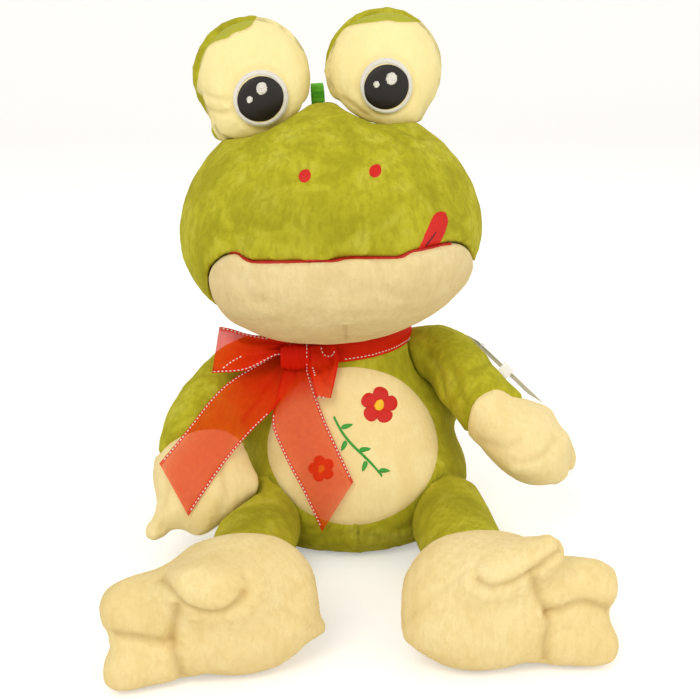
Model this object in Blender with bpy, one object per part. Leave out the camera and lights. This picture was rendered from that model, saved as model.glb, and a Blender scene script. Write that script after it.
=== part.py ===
"""Sitting plush frog with a tied ribbon, built as separate sewn and stuffed pieces.

Metres, +Z up. The frog faces -Y and its left side is +X. The origin is the centre of the
flat base that it sits on. Each stuffed form is modelled whole, then cut where a larger one
meets it. Embroidery and sewn-on panels are cut from the swollen skin that they lie on.
"""

import math

import bmesh
import bpy
from mathutils import Matrix, Vector
from mathutils.bvhtree import BVHTree
from mathutils.geometry import interpolate_bezier

# Clearances
SEAM_GAP = 0.0003
NECK_GAP = 0.0006
FLOOR_CUT = 0.0005
HAND_REST_GAP = 0.003
CUT_OVERRUN = 0.02
SIGHT_DISTANCE = 1.0

# Thread and cloth
PANEL_THICKNESS = 0.0016
EMBROIDERY_THICKNESS = 0.0012
RIBBON_WIDTH = 0.038
RIBBON_THICKNESS = 0.0012
RIBBON_REST_GAP = 0.0030

# Torso, along its own leaning axis
TORSO_HEIGHT = 0.196
TORSO_HALF_WIDTH = 0.102
TORSO_HALF_DEPTH = 0.096
TORSO_LEAN_BACK = math.radians(6)
TORSO_LEAN_SIDE = math.radians(3.5)
NECK_RADIUS = 0.058
TORSO_SEGMENTS = 28
TORSO_RINGS = 13
# height, half width, half depth, forward shift
TORSO_PROFILE_SHARES = (
    (-0.06, 0.64, 0.66, 0.02),
    (0.00, 0.84, 0.88, 0.04),
    (0.09, 0.95, 0.97, 0.05),
    (0.19, 1.00, 1.00, 0.05),
    (0.30, 0.97, 0.99, 0.05),
    (0.41, 0.87, 0.93, 0.04),
    (0.52, 0.76, 0.83, 0.03),
    (0.64, 0.665, 0.72, 0.01),
    (0.76, 0.61, 0.64, 0.00),
)
# height, radius
NECK_PROFILE_SHARES = (
    (0.85, 1.00),
    (0.91, 0.97),
    (0.95, 0.84),
    (0.985, 0.54),
    (1.00, 0.20),
)

# Head, in its own frame at the neck
HEAD_HEIGHT = 0.186
HEAD_HALF_WIDTH = 0.1255
HEAD_HALF_DEPTH = 0.100
HEAD_FORWARD = 0.036
HEAD_SIDE_SHIFT = -0.008
HEAD_SEAT_RISE = 0.014
HEAD_PITCH_BACK = math.radians(6)
HEAD_ROLL = math.radians(3.2)
HEAD_YAW = math.radians(6)
HEAD_SEGMENTS = 32
HEAD_RINGS = 15
HEAD_SQUARENESS = 2.2
# height, half width, half depth, forward shift
HEAD_PROFILE_SHARES = (
    (0.00, 0.30, 0.36, 0.06),
    (0.03, 0.47, 0.52, 0.10),
    (0.09, 0.65, 0.68, 0.13),
    (0.18, 0.82, 0.85, 0.13),
    (0.30, 0.94, 0.96, 0.10),
    (0.43, 1.00, 1.00, 0.05),
    (0.57, 0.97, 0.98, 0.00),
    (0.70, 0.89, 0.92, -0.05),
    (0.82, 0.75, 0.80, -0.09),
    (0.92, 0.55, 0.62, -0.12),
    (0.98, 0.31, 0.36, -0.13),
    (1.00, 0.12, 0.15, -0.13),
)

# Muzzle, the cream lower jaw panel
MUZZLE_HALF_WIDTH = 0.109
MUZZLE_TOP = 0.070
MUZZLE_TILT = math.radians(2.6)
MUZZLE_BACK = 0.020
# the lip from the frog's right corner to its left corner, as shares of half width and top
LIP_SHARES = (
    (-0.780, 1.090), (-0.725, 1.094), (-0.685, 1.034), (-0.640, 1.000), (-0.495, 1.000),
    (-0.180, 1.008), (-0.052, 1.006), (0.010, 1.036), (0.180, 1.030), (0.375, 1.011),
    (0.426, 1.023), (0.461, 1.057), (0.491, 1.076), (0.573, 1.081), (0.650, 1.097),
    (0.713, 1.114), (0.785, 1.119),
)
# the panel's two sides below the lip, from the top down
MUZZLE_RIGHT_SHARES = (
    (-0.852, 1.019), (-0.904, 0.931), (-0.931, 0.834), (-0.937, 0.769), (-0.915, 0.561),
    (-0.842, 0.333), (-0.730, 0.120), (-0.640, -0.100),
)
MUZZLE_LEFT_SHARES = (
    (0.850, 1.105), (0.905, 1.069), (0.960, 0.990), (1.000, 0.880), (1.030, 0.700),
    (1.030, 0.400), (0.980, 0.120), (0.940, -0.100),
)
LIP_SWELL = 0.0035
MOUTH_LINE_WIDTH = 0.0042

# Face embroidery
NOSTRIL_SPACING = 0.054
NOSTRIL_HEIGHT = 0.135
NOSTRIL_HALF_WIDTH = 0.0047
NOSTRIL_HALF_HEIGHT = 0.0050
TONGUE_LENGTH = 0.033
TONGUE_HALF_WIDTH = 0.0072
TONGUE_OFFSET = 0.069
TONGUE_TILT = math.radians(21)
TONGUE_LINE_WIDTH = 0.0018
TONGUE_LINE_LENGTH_SHARE = 0.42

# Eye pods
EYE_SPACING = 0.106
EYE_HEIGHT = 0.2095
EYE_FORWARD = 0.034
EYE_RADIUS = 0.0460
EYE_FRONT_SWELL = 0.026
EYE_BACK_SWELL = 0.034
EYE_BACK_PEAK_SHARE = 0.30
EYE_DOME_SHARE = 0.80
EYE_YAW = {"l": math.radians(-2), "r": math.radians(7)}
EYE_SEGMENTS = 22
EYE_RINGS = 4
IRIS_RADIUS = 0.0213
PUPIL_RADIUS = 0.0180
HIGHLIGHT_LARGE_RADIUS = 0.0048
HIGHLIGHT_SMALL_RADIUS = 0.0026
# iris centre across and up, as shares of the eye's radius
IRIS_CENTRE_SHARES = {"l": (0.02, -0.25), "r": (-0.02, -0.33)}
# highlight centres across and up, as shares of the pupil's radius
HIGHLIGHT_LARGE_SHARES = {"l": (0.21, 0.40), "r": (0.04, 0.44)}
HIGHLIGHT_SMALL_SHARES = {"l": (-0.42, 0.14), "r": (-0.45, -0.02)}

# Belly
BELLY_HALF_WIDTH = 0.071
BELLY_HALF_HEIGHT = 0.062
BELLY_HEIGHT = 0.092
FLOWER_LARGE_RADIUS = 0.0165
FLOWER_SMALL_RADIUS = 0.0112
FLOWER_CENTRE_SHARE = 0.30
FLOWER_NOTCH_SHARE = 0.62
FLOWER_PETALS = 5
FLOWER_POINTS = 40
PETAL_ROUNDNESS = 0.7
# flower places across and up, as shares of the belly panel's half width and half height
FLOWER_LARGE_PLACE_SHARES = (0.36, 0.52)
FLOWER_SMALL_PLACE_SHARES = (-0.36, -0.26)
SPRIG_WIDTH = 0.0032
SPRIG_LEAF_LENGTH = 0.017
SPRIG_LEAF_WIDTH = 0.0075
SPRIG_LEAF_ANGLE = math.radians(58)
# along and across a leaf
SPRIG_LEAF_SHARES = ((0.35, 1.0), (0.70, 0.8), (1.00, 0.0), (0.70, -0.8), (0.35, -1.0))
# stem points across and up, as shares of the belly panel's half width and half height
SPRIG_STEM_SHARES = (
    (-0.24, 0.36),
    (-0.12, 0.24),
    (0.02, 0.06),
    (0.18, -0.12),
    (0.32, -0.30),
    (0.42, -0.46),
)

# Arms, each a bent sleeve with a mitten hand
SHOULDER_HEIGHT = 0.143
SHOULDER_SEAT_SHARE = 0.91
SHOULDER_TILT = math.radians(18)
SLEEVE_RADIUS = 0.0250
SLEEVE_SEGMENTS = 16
ARM_STATIONS = 7
CUFF_HALF_WIDTH = 0.037
CUFF_HALF_THICKNESS = 0.026
ARM_ROOT_RUN = 0.010
ARM_ROOT_HANDLE = 0.030
ARM_CUFF_HANDLE = 0.036
# the middle of the cuff, outward, forward and up from the middle of the base
CUFF_OUT = {"l": 0.119, "r": 0.129}
CUFF_FORWARD = {"l": 0.040, "r": 0.062}
CUFF_HEIGHT = {"l": 0.110, "r": 0.094}
# which way the fingers point and the back of the hand faces: outward, back and up
FINGERS_WAY_SHARES = {"l": (0.74, -0.22, -0.64), "r": (-0.07, -0.68, -0.70)}
PALM_FACING_SHARES = {"l": (0.60, -0.19, 0.78), "r": (-0.09, -0.67, 0.73)}
PALM_HALF_WIDTH = 0.0440
PALM_HALF_LENGTH = 0.047
PALM_HALF_THICKNESS = 0.0280
PALM_REACH = 0.026
PALM_FULLNESS = 0.6
HAND_VOXEL = 0.0090
# the cream dome that caps the sleeve: its half sizes across, through and along, and its place
CUFF_DOME_HALF_SIZES = {"l": (0.060, 0.031, 0.031), "r": (0.058, 0.060, 0.028)}
CUFF_DOME_REACH = {"l": 0.0, "r": 0.011}
STUFFED_RINGS = 12
PALM_SEGMENTS = 16
CUFF_DOME_SEGMENTS = 24
HAND_SWEEP_ANGLES = tuple(math.radians(angle) for angle in (0, 4, 8, 12))
# finger root and tip, across and along, root and tip radius, as shares of the palm's half width
FINGER_SHARES = (
    ((-0.30, 0.75), (-0.86, 1.68), 0.46, 0.29),
    ((-0.02, 0.90), (-0.05, 1.58), 0.46, 0.31),
    ((0.25, 0.50), (0.84, 0.78), 0.50, 0.36),
)
FINGER_FLATNESS_SHARE = 0.86

# Legs and feet
HIP_SPACING = 0.146
HIP_FORWARD = 0.040
HIP_HEIGHT = 0.035
LEG_RADIUS = 0.0340
ANKLE_RADIUS = 0.0290
ANKLE_HEIGHT = 0.037
LEG_SEGMENTS = 16
LEG_RINGS = 5
LEG_SWELL_SHARE = 0.05
HIP_ROOT_SHARE = 0.10
HIP_SPLIT = 0.050
FOOT_OUTWARD = {"l": 0.108, "r": 0.103}
FOOT_REACH = {"l": 0.239, "r": 0.251}
FOOT_TILT = math.radians(12)
FOOT_YAW = {"l": math.radians(6), "r": math.radians(-12)}
FOOT_HALF_LENGTH = 0.0602
FOOT_HALF_HEIGHT = 0.0535
FOOT_HALF_THICKNESS = 0.034
FOOT_SQUARENESS = 2.2
FOOT_FULLNESS = 0.75
FOOT_SEGMENTS = 20
FOOT_VOXEL = 0.0108
FOOT_PAD_INSET_SHARE = 0.35
# toe root and tip across, up and forward, root and tip radius, as shares of the foot's half length
TOE_SHARES = {
    "l": (
        ((-0.40, 0.38, 0.42), (0.36, 0.72, 0.54), 0.38, 0.26),
        ((0.40, 0.14, 0.00), (0.98, 0.16, 0.10), 0.44, 0.37),
        ((0.38, -0.50, 0.02), (1.08, -0.58, 0.12), 0.36, 0.31),
        ((-0.60, -0.16, 0.00), (-1.30, -0.42, 0.06), 0.50, 0.12),
    ),
    "r": (
        ((-0.33, 0.26, 0.42), (0.24, 0.46, 0.58), 0.42, 0.32),
        ((0.40, 0.14, 0.00), (0.98, 0.14, 0.14), 0.44, 0.37),
        ((0.38, -0.50, 0.02), (1.06, -0.60, 0.12), 0.36, 0.31),
        ((-0.60, -0.16, 0.00), (-1.40, -0.44, 0.06), 0.50, 0.12),
    ),
}

# Hanging loop of woven tape
LOOP_TAPE_WIDTH = 0.010
LOOP_TAPE_THICKNESS = 0.0015
LOOP_HALF_SPAN = 0.009
LOOP_RISE = 0.0165
LOOP_FORWARD = -0.004
LOOP_STEPS = 16

# Neck ribbon and bow
COLLAR_HEIGHT = 0.171
COLLAR_HALF_BAND = 0.0110
COLLAR_TILT = math.radians(-3.5)
KNOT_ACROSS = -0.040
KNOT_HEIGHT = 0.1685
KNOT_HALF_WIDTH = 0.012
KNOT_HALF_HEIGHT = 0.0120
KNOT_HALF_DEPTH = 0.009
KNOT_RINGS = 8
KNOT_SEGMENTS = 14
KNOT_SQUARENESS = 2.4
BOW_LOOP_LENGTH = {"l": 0.043, "r": 0.068}
BOW_LOOP_DEPTH = 0.011
BOW_LOOP_HEADING = {"l": math.radians(-57), "r": math.radians(177)}
BOW_LOOP_END_SHARE = {"l": 0.75, "r": 0.98}
BOW_LOOP_ROOT_SHARE = 0.40
BOW_LOOP_STEPS = 14
BOW_LOOP_OPEN_SHARE = 0.06
BOW_LOOP_WIDENING = 1.25
# where the loop is held clear of what lies behind it, along its length
BOW_LOOP_TEST_SHARES = (0.4, 0.7, 1)
TAIL_LENGTH = {"l": 0.128, "r": 0.140}
TAIL_HEADING = {"l": math.radians(-76), "r": math.radians(-134)}
TAIL_LIFT = {"l": 0.0020, "r": 0}
TAIL_ROOT_SHARE = 0.42
TAIL_WIDENING = 3
TAIL_STATIONS = 13
TAIL_SETTLE_ROUNDS = 26
TAIL_END_SLANT_SHARE = {"l": -0.80, "r": 0.29}

# Tags on the left arm
TAG_LENGTH = 0.080
TAG_WIDTH = 0.046
TAG_THICKNESS = 0.0006
TAG_CORNER = 0.004
TAG_CORNER_STEPS = 3
TAG_HOLE_RADIUS = 0.0016
TAG_HOLE_INSET = 0.006
TAG_CLEARANCE = 0.0012
TAG_DROP = math.radians(44)
TAG_BACK_TILT = math.radians(18)
FASTENER_RADIUS = 0.0006
FASTENER_BAR_LENGTH = 0.008
LABEL_LENGTH = 0.009
LABEL_WIDTH = 0.011
LABEL_THICKNESS = 0.0007
LABEL_SETBACK = 0.003
LABEL_ROOT_SHARE = 0.55
# the arm stations that the tag and the label sit at
TAG_STATION = 4
LABEL_STATION = 5

GREEN_CLOTH = (0.56, 0.58, 0.13)
CREAM_CLOTH = (0.92, 0.82, 0.56)
RIBBON_RED = (0.75, 0.06, 0.05)
THREAD_RED = (0.80, 0.09, 0.05)
THREAD_DARK_RED = (0.52, 0.08, 0.04)
THREAD_YELLOW = (0.98, 0.72, 0.12)
THREAD_GREEN = (0.22, 0.58, 0.19)
THREAD_BLACK = (0.10, 0.08, 0.07)
THREAD_WHITE = (0.90, 0.88, 0.82)
TAPE_GREEN = (0.26, 0.50, 0.09)
CARD_WHITE = (0.90, 0.90, 0.86)
CLEAR_PLASTIC = (0.86, 0.87, 0.86)

SIDES = {"l": 1, "r": -1}


def clear_scene():
    """Remove every object of the scene."""
    for item in list(bpy.data.objects):
        bpy.data.objects.remove(item, do_unlink=True)


def finish(item, colour, roughness=0.9):
    """Give a piece its own material and soft shading."""
    material = bpy.data.materials.new(item.name)
    material.use_nodes = True
    shader = material.node_tree.nodes["Principled BSDF"]
    shader.inputs["Base Color"].default_value = (*colour, 1)
    shader.inputs["Roughness"].default_value = roughness
    shader.inputs["Metallic"].default_value = 0
    item.data.materials.clear()
    item.data.materials.append(material)
    item.data.shade_smooth()
    item.data.set_sharp_from_angle(angle=math.radians(40))


def make_object(name, mesh):
    """Link a bmesh to the scene as a named object with flat triangles."""
    bmesh.ops.recalc_face_normals(mesh, faces=mesh.faces)
    bmesh.ops.triangulate(mesh, faces=mesh.faces)
    data = bpy.data.meshes.new(name)
    mesh.to_mesh(data)
    mesh.free()
    item = bpy.data.objects.new(name, data)
    bpy.context.scene.collection.objects.link(item)
    return item


def discard(item):
    """Remove a construction form."""
    bpy.data.objects.remove(item, do_unlink=True)


def bake(item, flatten=False):
    """Replace the object's mesh by the shape that its modifiers give, as flat triangles if asked."""
    bpy.context.view_layer.update()
    evaluated = item.evaluated_get(bpy.context.evaluated_depsgraph_get())
    data = bpy.data.meshes.new_from_object(evaluated)
    item.modifiers.clear()
    item.data = data
    mesh = bmesh.new()
    mesh.from_mesh(data)
    bmesh.ops.recalc_face_normals(mesh, faces=mesh.faces)
    if flatten:
        bmesh.ops.triangulate(mesh, faces=mesh.faces)
    mesh.to_mesh(data)
    mesh.free()


def combine(item, tool, operation):
    """Join, cut or intersect the item with a tool form."""
    modifier = item.modifiers.new(operation.lower(), "BOOLEAN")
    modifier.operation = operation
    modifier.solver = "EXACT"
    modifier.object = tool
    bake(item)


def copy_of(item, name):
    """Return an independent copy of the item."""
    twin = item.copy()
    twin.data = item.data.copy()
    twin.name = name
    bpy.context.scene.collection.objects.link(twin)
    return twin


def grown(item, distance):
    """Return a copy of a form whose skin lies a distance further out."""
    twin = copy_of(item, "grown_form")
    mesh = bmesh.new()
    mesh.from_mesh(twin.data)
    mesh.normal_update()
    steps = [vert.normal * (vert.calc_shell_factor() * distance) for vert in mesh.verts]
    for vert, step in zip(mesh.verts, steps):
        vert.co += step
    mesh.to_mesh(twin.data)
    mesh.free()
    return twin


def cut_clear(item, form, gap=SEAM_GAP):
    """Cut the item back from a form, leaving a gap."""
    tool = grown(form, gap)
    combine(item, tool, "DIFFERENCE")
    discard(tool)


def keep_part(item, score):
    """Keep the loose part whose centre has the highest score."""
    mesh = bmesh.new()
    mesh.from_mesh(item.data)
    waiting = set(mesh.verts)
    parts = []
    while waiting:
        seed = waiting.pop()
        part = {seed}
        front = [seed]
        while front:
            vert = front.pop()
            for edge in vert.link_edges:
                other = edge.other_vert(vert)
                if other not in part:
                    part.add(other)
                    front.append(other)
        waiting -= part
        parts.append(part)
    best = max(parts, key=score)
    bmesh.ops.delete(mesh, geom=[vert for vert in mesh.verts if vert not in best], context="VERTS")
    mesh.to_mesh(item.data)
    mesh.free()


def cut_at_floor(item, height=0.0):
    """Cut a piece flat at a height above the floor."""
    mesh = bmesh.new()
    mesh.from_mesh(item.data)
    geometry = mesh.verts[:] + mesh.edges[:] + mesh.faces[:]
    result = bmesh.ops.bisect_plane(
        mesh, geom=geometry, plane_co=(0, 0, height), plane_no=(0, 0, -1), clear_outer=True)
    rim = [edge for edge in result["geom_cut"] if isinstance(edge, bmesh.types.BMEdge)]
    bmesh.ops.contextual_create(mesh, geom=rim)
    bmesh.ops.recalc_face_normals(mesh, faces=mesh.faces)
    mesh.to_mesh(item.data)
    mesh.free()


def smooth_rows(rows, count):
    """Read a table of shares as a smooth curve, at evenly spread rows."""
    last = len(rows) - 1
    result = []
    for index in range(count):
        place = index * last / (count - 1)
        start = min(int(place), last - 1)
        part = place - start
        before = rows[max(start - 1, 0)]
        low = rows[start]
        high = rows[start + 1]
        after = rows[min(start + 2, last)]
        row = []
        for a, b, c, d in zip(before, low, high, after):
            bend = 2 * a - 5 * b + 4 * c - d
            twist = 3 * (b - c) + d - a
            row.append(b + part * (c - a + part * (bend + part * twist)) / 2)
        result.append(row)
    return result


def ring_points(frame, half_across, half_up, segments, squareness=2.0):
    """Return a rounded ring in the frame's XY plane."""
    points = []
    power = 2 / squareness
    for index in range(segments):
        angle = math.tau * index / segments
        across = math.copysign(abs(math.cos(angle)) ** power, math.cos(angle)) * half_across
        up = math.copysign(abs(math.sin(angle)) ** power, math.sin(angle)) * half_up
        points.append(frame @ Vector((across, up, 0)))
    return points


def loft(name, rings):
    """Skin a closed form over rings of equal count."""
    mesh = bmesh.new()
    loops = [[mesh.verts.new(point) for point in ring] for ring in rings]
    for low, high in zip(loops, loops[1:]):
        for index in range(len(low)):
            after = (index + 1) % len(low)
            mesh.faces.new((low[index], low[after], high[after], high[index]))
    mesh.faces.new(loops[0])
    mesh.faces.new(loops[-1])
    return make_object(name, mesh)


def standing_form(name, rows, frame, height, half_width, half_depth, segments, squareness=2.0):
    """Loft upright rings from rows of height, width, depth and forward shares."""
    rings = []
    for level, wide, deep, forward in rows:
        place = frame @ Matrix.Translation((0, -forward * half_depth, level * height))
        rings.append(ring_points(place, wide * half_width, deep * half_depth, segments, squareness))
    return loft(name, rings)


def frame_along(point, direction, across):
    """Return a frame at a point, Z along the direction and X near the across direction."""
    z_axis = direction.normalized()
    y_axis = z_axis.cross(across).normalized()
    x_axis = y_axis.cross(z_axis)
    basis = Matrix((x_axis, y_axis, z_axis)).transposed().to_4x4()
    return Matrix.Translation(point) @ basis


def lobe(name, root, tip, root_radius, tip_radius, flat_axis, flatness, segments=12, rings=4):
    """Make a stuffed lobe with round ends between two points."""
    axis = (tip - root).normalized()
    across = axis.cross(flat_axis)
    rows = []
    for index in range(rings):
        angle = math.pi / 2 * (index + 0.35) / rings
        rows.append((root - axis * root_radius * math.cos(angle), root_radius * math.sin(angle)))
    for index in range(rings + 1):
        angle = math.pi / 2 * index / (rings + 0.35)
        rows.append((tip + axis * tip_radius * math.sin(angle), tip_radius * math.cos(angle)))
    loops = []
    for point, radius in rows:
        frame = frame_along(point, axis, across)
        loops.append(ring_points(frame, radius, radius * flatness, segments))
    return loft(name, loops)


def soften(item, voxel):
    """Merge a form's lobes into one stuffed skin."""
    remesh = item.modifiers.new("skin", "REMESH")
    remesh.mode = "VOXEL"
    remesh.voxel_size = voxel
    relax = item.modifiers.new("relax", "SMOOTH")
    relax.factor = 0.5
    relax.iterations = 4
    bake(item, flatten=True)


def prism(name, outline, frame, depth):
    """Extrude a flat outline of the frame's XY plane along its Z axis."""
    mesh = bmesh.new()
    verts = [mesh.verts.new(frame @ Vector((x, y, 0))) for x, y in outline]
    face = mesh.faces.new(verts)
    result = bmesh.ops.extrude_face_region(mesh, geom=[face])
    moved = [part for part in result["geom"] if isinstance(part, bmesh.types.BMVert)]
    step = frame.to_3x3() @ Vector((0, 0, depth))
    bmesh.ops.translate(mesh, verts=moved, vec=step)
    return make_object(name, mesh)


def applique(name, outline, frame, depth, form, inner, outer):
    """Cut a thin sewn-on piece from the skin between two offsets of a form."""
    item = prism(name, outline, frame, depth)
    skin = grown(form, outer)
    combine(item, skin, "INTERSECT")
    discard(skin)
    cut_clear(item, form, inner)
    keep_part(item, len)
    return item


def ellipse(half_across, half_up, centre=(0, 0), segments=24):
    """Return an ellipse outline."""
    points = []
    for index in range(segments):
        angle = math.tau * index / segments
        points.append((centre[0] + half_across * math.cos(angle), centre[1] + half_up * math.sin(angle)))
    return points


def strip_outline(points, width):
    """Return the outline of a band of constant width along a flat path."""
    left = []
    right = []
    for index, point in enumerate(points):
        before = points[max(index - 1, 0)]
        after = points[min(index + 1, len(points) - 1)]
        run = Vector((after[0] - before[0], after[1] - before[1])).normalized()
        side = Vector((-run.y, run.x)) * (width / 2)
        left.append((point[0] + side.x, point[1] + side.y))
        right.append((point[0] - side.x, point[1] - side.y))
    return left + right[::-1]


def joint_empty(name, point, pieces):
    """Parent pieces to an empty that stands on their joint."""
    empty = bpy.data.objects.new(name, None)
    empty.location = point
    bpy.context.scene.collection.objects.link(empty)
    bpy.context.view_layer.update()
    for piece in pieces:
        piece.parent = empty
        piece.matrix_parent_inverse = empty.matrix_world.inverted()
    return empty


def skin_tree(items):
    """Return one search tree over the skins of several forms."""
    verts = []
    faces = []
    for item in items:
        start = len(verts)
        verts += [item.matrix_world @ vert.co for vert in item.data.vertices]
        faces += [[start + index for index in face.vertices] for face in item.data.polygons]
    return BVHTree.FromPolygons(verts, faces)


def torso_frame():
    """Return the torso's leaning frame at the centre of the base."""
    return Matrix.Rotation(-TORSO_LEAN_BACK, 4, "X") @ Matrix.Rotation(-TORSO_LEAN_SIDE, 4, "Y")


def neck_height():
    """Return the height of the neck point along the torso."""
    return NECK_PROFILE_SHARES[0][0] * TORSO_HEIGHT


def head_frame():
    """Return the head's frame, at the centre of its underside."""
    neck = torso_frame() @ Vector((0, 0, neck_height()))
    turn = Matrix.Rotation(-HEAD_ROLL, 4, "Y") @ Matrix.Rotation(-HEAD_PITCH_BACK, 4, "X")
    turn = Matrix.Rotation(HEAD_YAW, 4, "Z") @ turn
    rise = Matrix.Translation((HEAD_SIDE_SHIFT, -HEAD_FORWARD, HEAD_SEAT_RISE))
    return Matrix.Translation(neck) @ turn @ rise


def torso_form():
    """Loft the pear-shaped torso with its round neck dome."""
    rows = [tuple(row) for row in smooth_rows(TORSO_PROFILE_SHARES, TORSO_RINGS)]
    for level, share in NECK_PROFILE_SHARES:
        radius = share * NECK_RADIUS
        rows.append((level, radius / TORSO_HALF_WIDTH, radius / TORSO_HALF_DEPTH, 0))
    item = standing_form(
        "torso", rows, torso_frame(), TORSO_HEIGHT, TORSO_HALF_WIDTH, TORSO_HALF_DEPTH, TORSO_SEGMENTS)
    cut_at_floor(item)
    return item


def head_form():
    """Loft the wide head."""
    rows = smooth_rows(HEAD_PROFILE_SHARES, HEAD_RINGS)
    return standing_form(
        "head", rows, head_frame(), HEAD_HEIGHT, HEAD_HALF_WIDTH, HEAD_HALF_DEPTH, HEAD_SEGMENTS,
        HEAD_SQUARENESS)


def facing_frame(base, across, up):
    """Return a frame that looks out of the front of a body: X across, Y up, Z forward."""
    turn = Matrix.Rotation(math.pi / 2, 4, "X")
    return base @ Matrix.Translation((across, 0, up)) @ turn


def jaw_frame():
    """Return the head's facing frame, tilted with the mouth."""
    tilt = Matrix.Rotation(-MUZZLE_TILT, 4, "Z") @ Matrix.Translation((0, -MUZZLE_TOP, 0))
    return facing_frame(head_frame(), 0, MUZZLE_TOP) @ tilt


def build_muzzle(form):
    """Split the cream jaw panel off the head and return it."""
    frame = jaw_frame() @ Matrix.Translation((0, 0, MUZZLE_BACK))
    reach = HEAD_HALF_DEPTH + CUT_OVERRUN + HEAD_FORWARD
    shares = [*reversed(MUZZLE_RIGHT_SHARES), *LIP_SHARES, *MUZZLE_LEFT_SHARES]
    outline = [(across * MUZZLE_HALF_WIDTH, up * MUZZLE_TOP) for across, up in shares]
    outline.append((outline[-1][0], -CUT_OVERRUN))
    outline.insert(0, (outline[0][0], -CUT_OVERRUN))
    outline.reverse()
    muzzle = prism("muzzle", outline, frame, reach)
    skin = grown(form, LIP_SWELL)
    combine(muzzle, skin, "INTERSECT")
    discard(skin)
    return muzzle


def build_mouth_line(form, muzzle):
    """Embroider the line above the lip."""
    frame = jaw_frame()
    rise = SEAM_GAP + MOUTH_LINE_WIDTH / 2
    path = [(across * MUZZLE_HALF_WIDTH, up * MUZZLE_TOP + rise) for across, up in LIP_SHARES]
    outline = strip_outline(path, MOUTH_LINE_WIDTH)
    reach = HEAD_HALF_DEPTH + CUT_OVERRUN + HEAD_FORWARD
    line = applique("mouth_line", outline, frame, reach, form, SEAM_GAP, SEAM_GAP + EMBROIDERY_THICKNESS)
    cut_clear(line, muzzle)
    keep_part(line, len)
    return line


def build_face(form, mouth_line):
    """Embroider nostrils and tongue on the head."""
    frame = facing_frame(head_frame(), 0, 0)
    reach = HEAD_HALF_DEPTH + CUT_OVERRUN + HEAD_FORWARD
    outer = SEAM_GAP + EMBROIDERY_THICKNESS
    pieces = {}
    for side, sign in SIDES.items():
        centre = (sign * NOSTRIL_SPACING / 2, NOSTRIL_HEIGHT)
        outline = ellipse(NOSTRIL_HALF_WIDTH, NOSTRIL_HALF_HEIGHT, centre, 14)
        pieces[f"nostril_{side}"] = applique(
            f"nostril_{side}", outline, frame, reach, form, SEAM_GAP, outer)
    lean = Vector((math.sin(TONGUE_TILT), math.cos(TONGUE_TILT)))
    side_way = Vector((lean.y, -lean.x))
    root = Vector((TONGUE_OFFSET, MUZZLE_TOP)) - lean * TONGUE_HALF_WIDTH
    end = Vector((TONGUE_OFFSET, MUZZLE_TOP)) + lean * (TONGUE_LENGTH - TONGUE_HALF_WIDTH)
    outline = [root - side_way * TONGUE_HALF_WIDTH, root + side_way * TONGUE_HALF_WIDTH]
    for index in range(9):
        angle = math.pi * index / 8
        swing = side_way * math.cos(angle) + lean * math.sin(angle)
        outline.append(end + swing * TONGUE_HALF_WIDTH)
    tongue = applique("tongue", outline, frame, reach, form, SEAM_GAP, outer)
    cut_clear(tongue, mouth_line)
    keep_part(tongue, len)
    start = Vector((TONGUE_OFFSET, MUZZLE_TOP)) + lean * TONGUE_HALF_WIDTH
    path = [start, start + lean * TONGUE_LENGTH * TONGUE_LINE_LENGTH_SHARE]
    outline = strip_outline([tuple(point) for point in path], TONGUE_LINE_WIDTH)
    inner = outer + SEAM_GAP
    line = applique("tongue_line", outline, frame, reach, form, inner, inner + EMBROIDERY_THICKNESS)
    pieces["tongue"] = tongue
    pieces["tongue_line"] = line
    return pieces


def eye_frame(side):
    """Return the frame of an eye pod at its seam, Z out of its face."""
    place = Vector((SIDES[side] * EYE_SPACING / 2, HEAD_FORWARD - EYE_FORWARD, EYE_HEIGHT))
    turn = Matrix.Rotation(EYE_YAW[side], 4, "Z") @ Matrix.Rotation(math.pi / 2, 4, "X")
    return head_frame() @ Matrix.Translation(place) @ turn


def cushion_half(name, frame, radius, swell, peak=0.0):
    """Make half a round cushion that swells from its seam, widest at its peak share."""
    rings = []
    start = -math.asin(peak / (1 - peak))
    for index in range(EYE_RINGS + 1):
        angle = start + (math.pi / 2 - start) * index / (EYE_RINGS + 0.3)
        level = peak + (1 - peak) * math.sin(angle)
        place = frame @ Matrix.Translation((0, 0, swell * level))
        size = radius * math.cos(angle) ** EYE_DOME_SHARE / math.cos(start) ** EYE_DOME_SHARE
        rings.append(ring_points(place, size, size, EYE_SEGMENTS))
    return loft(name, rings)


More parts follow.
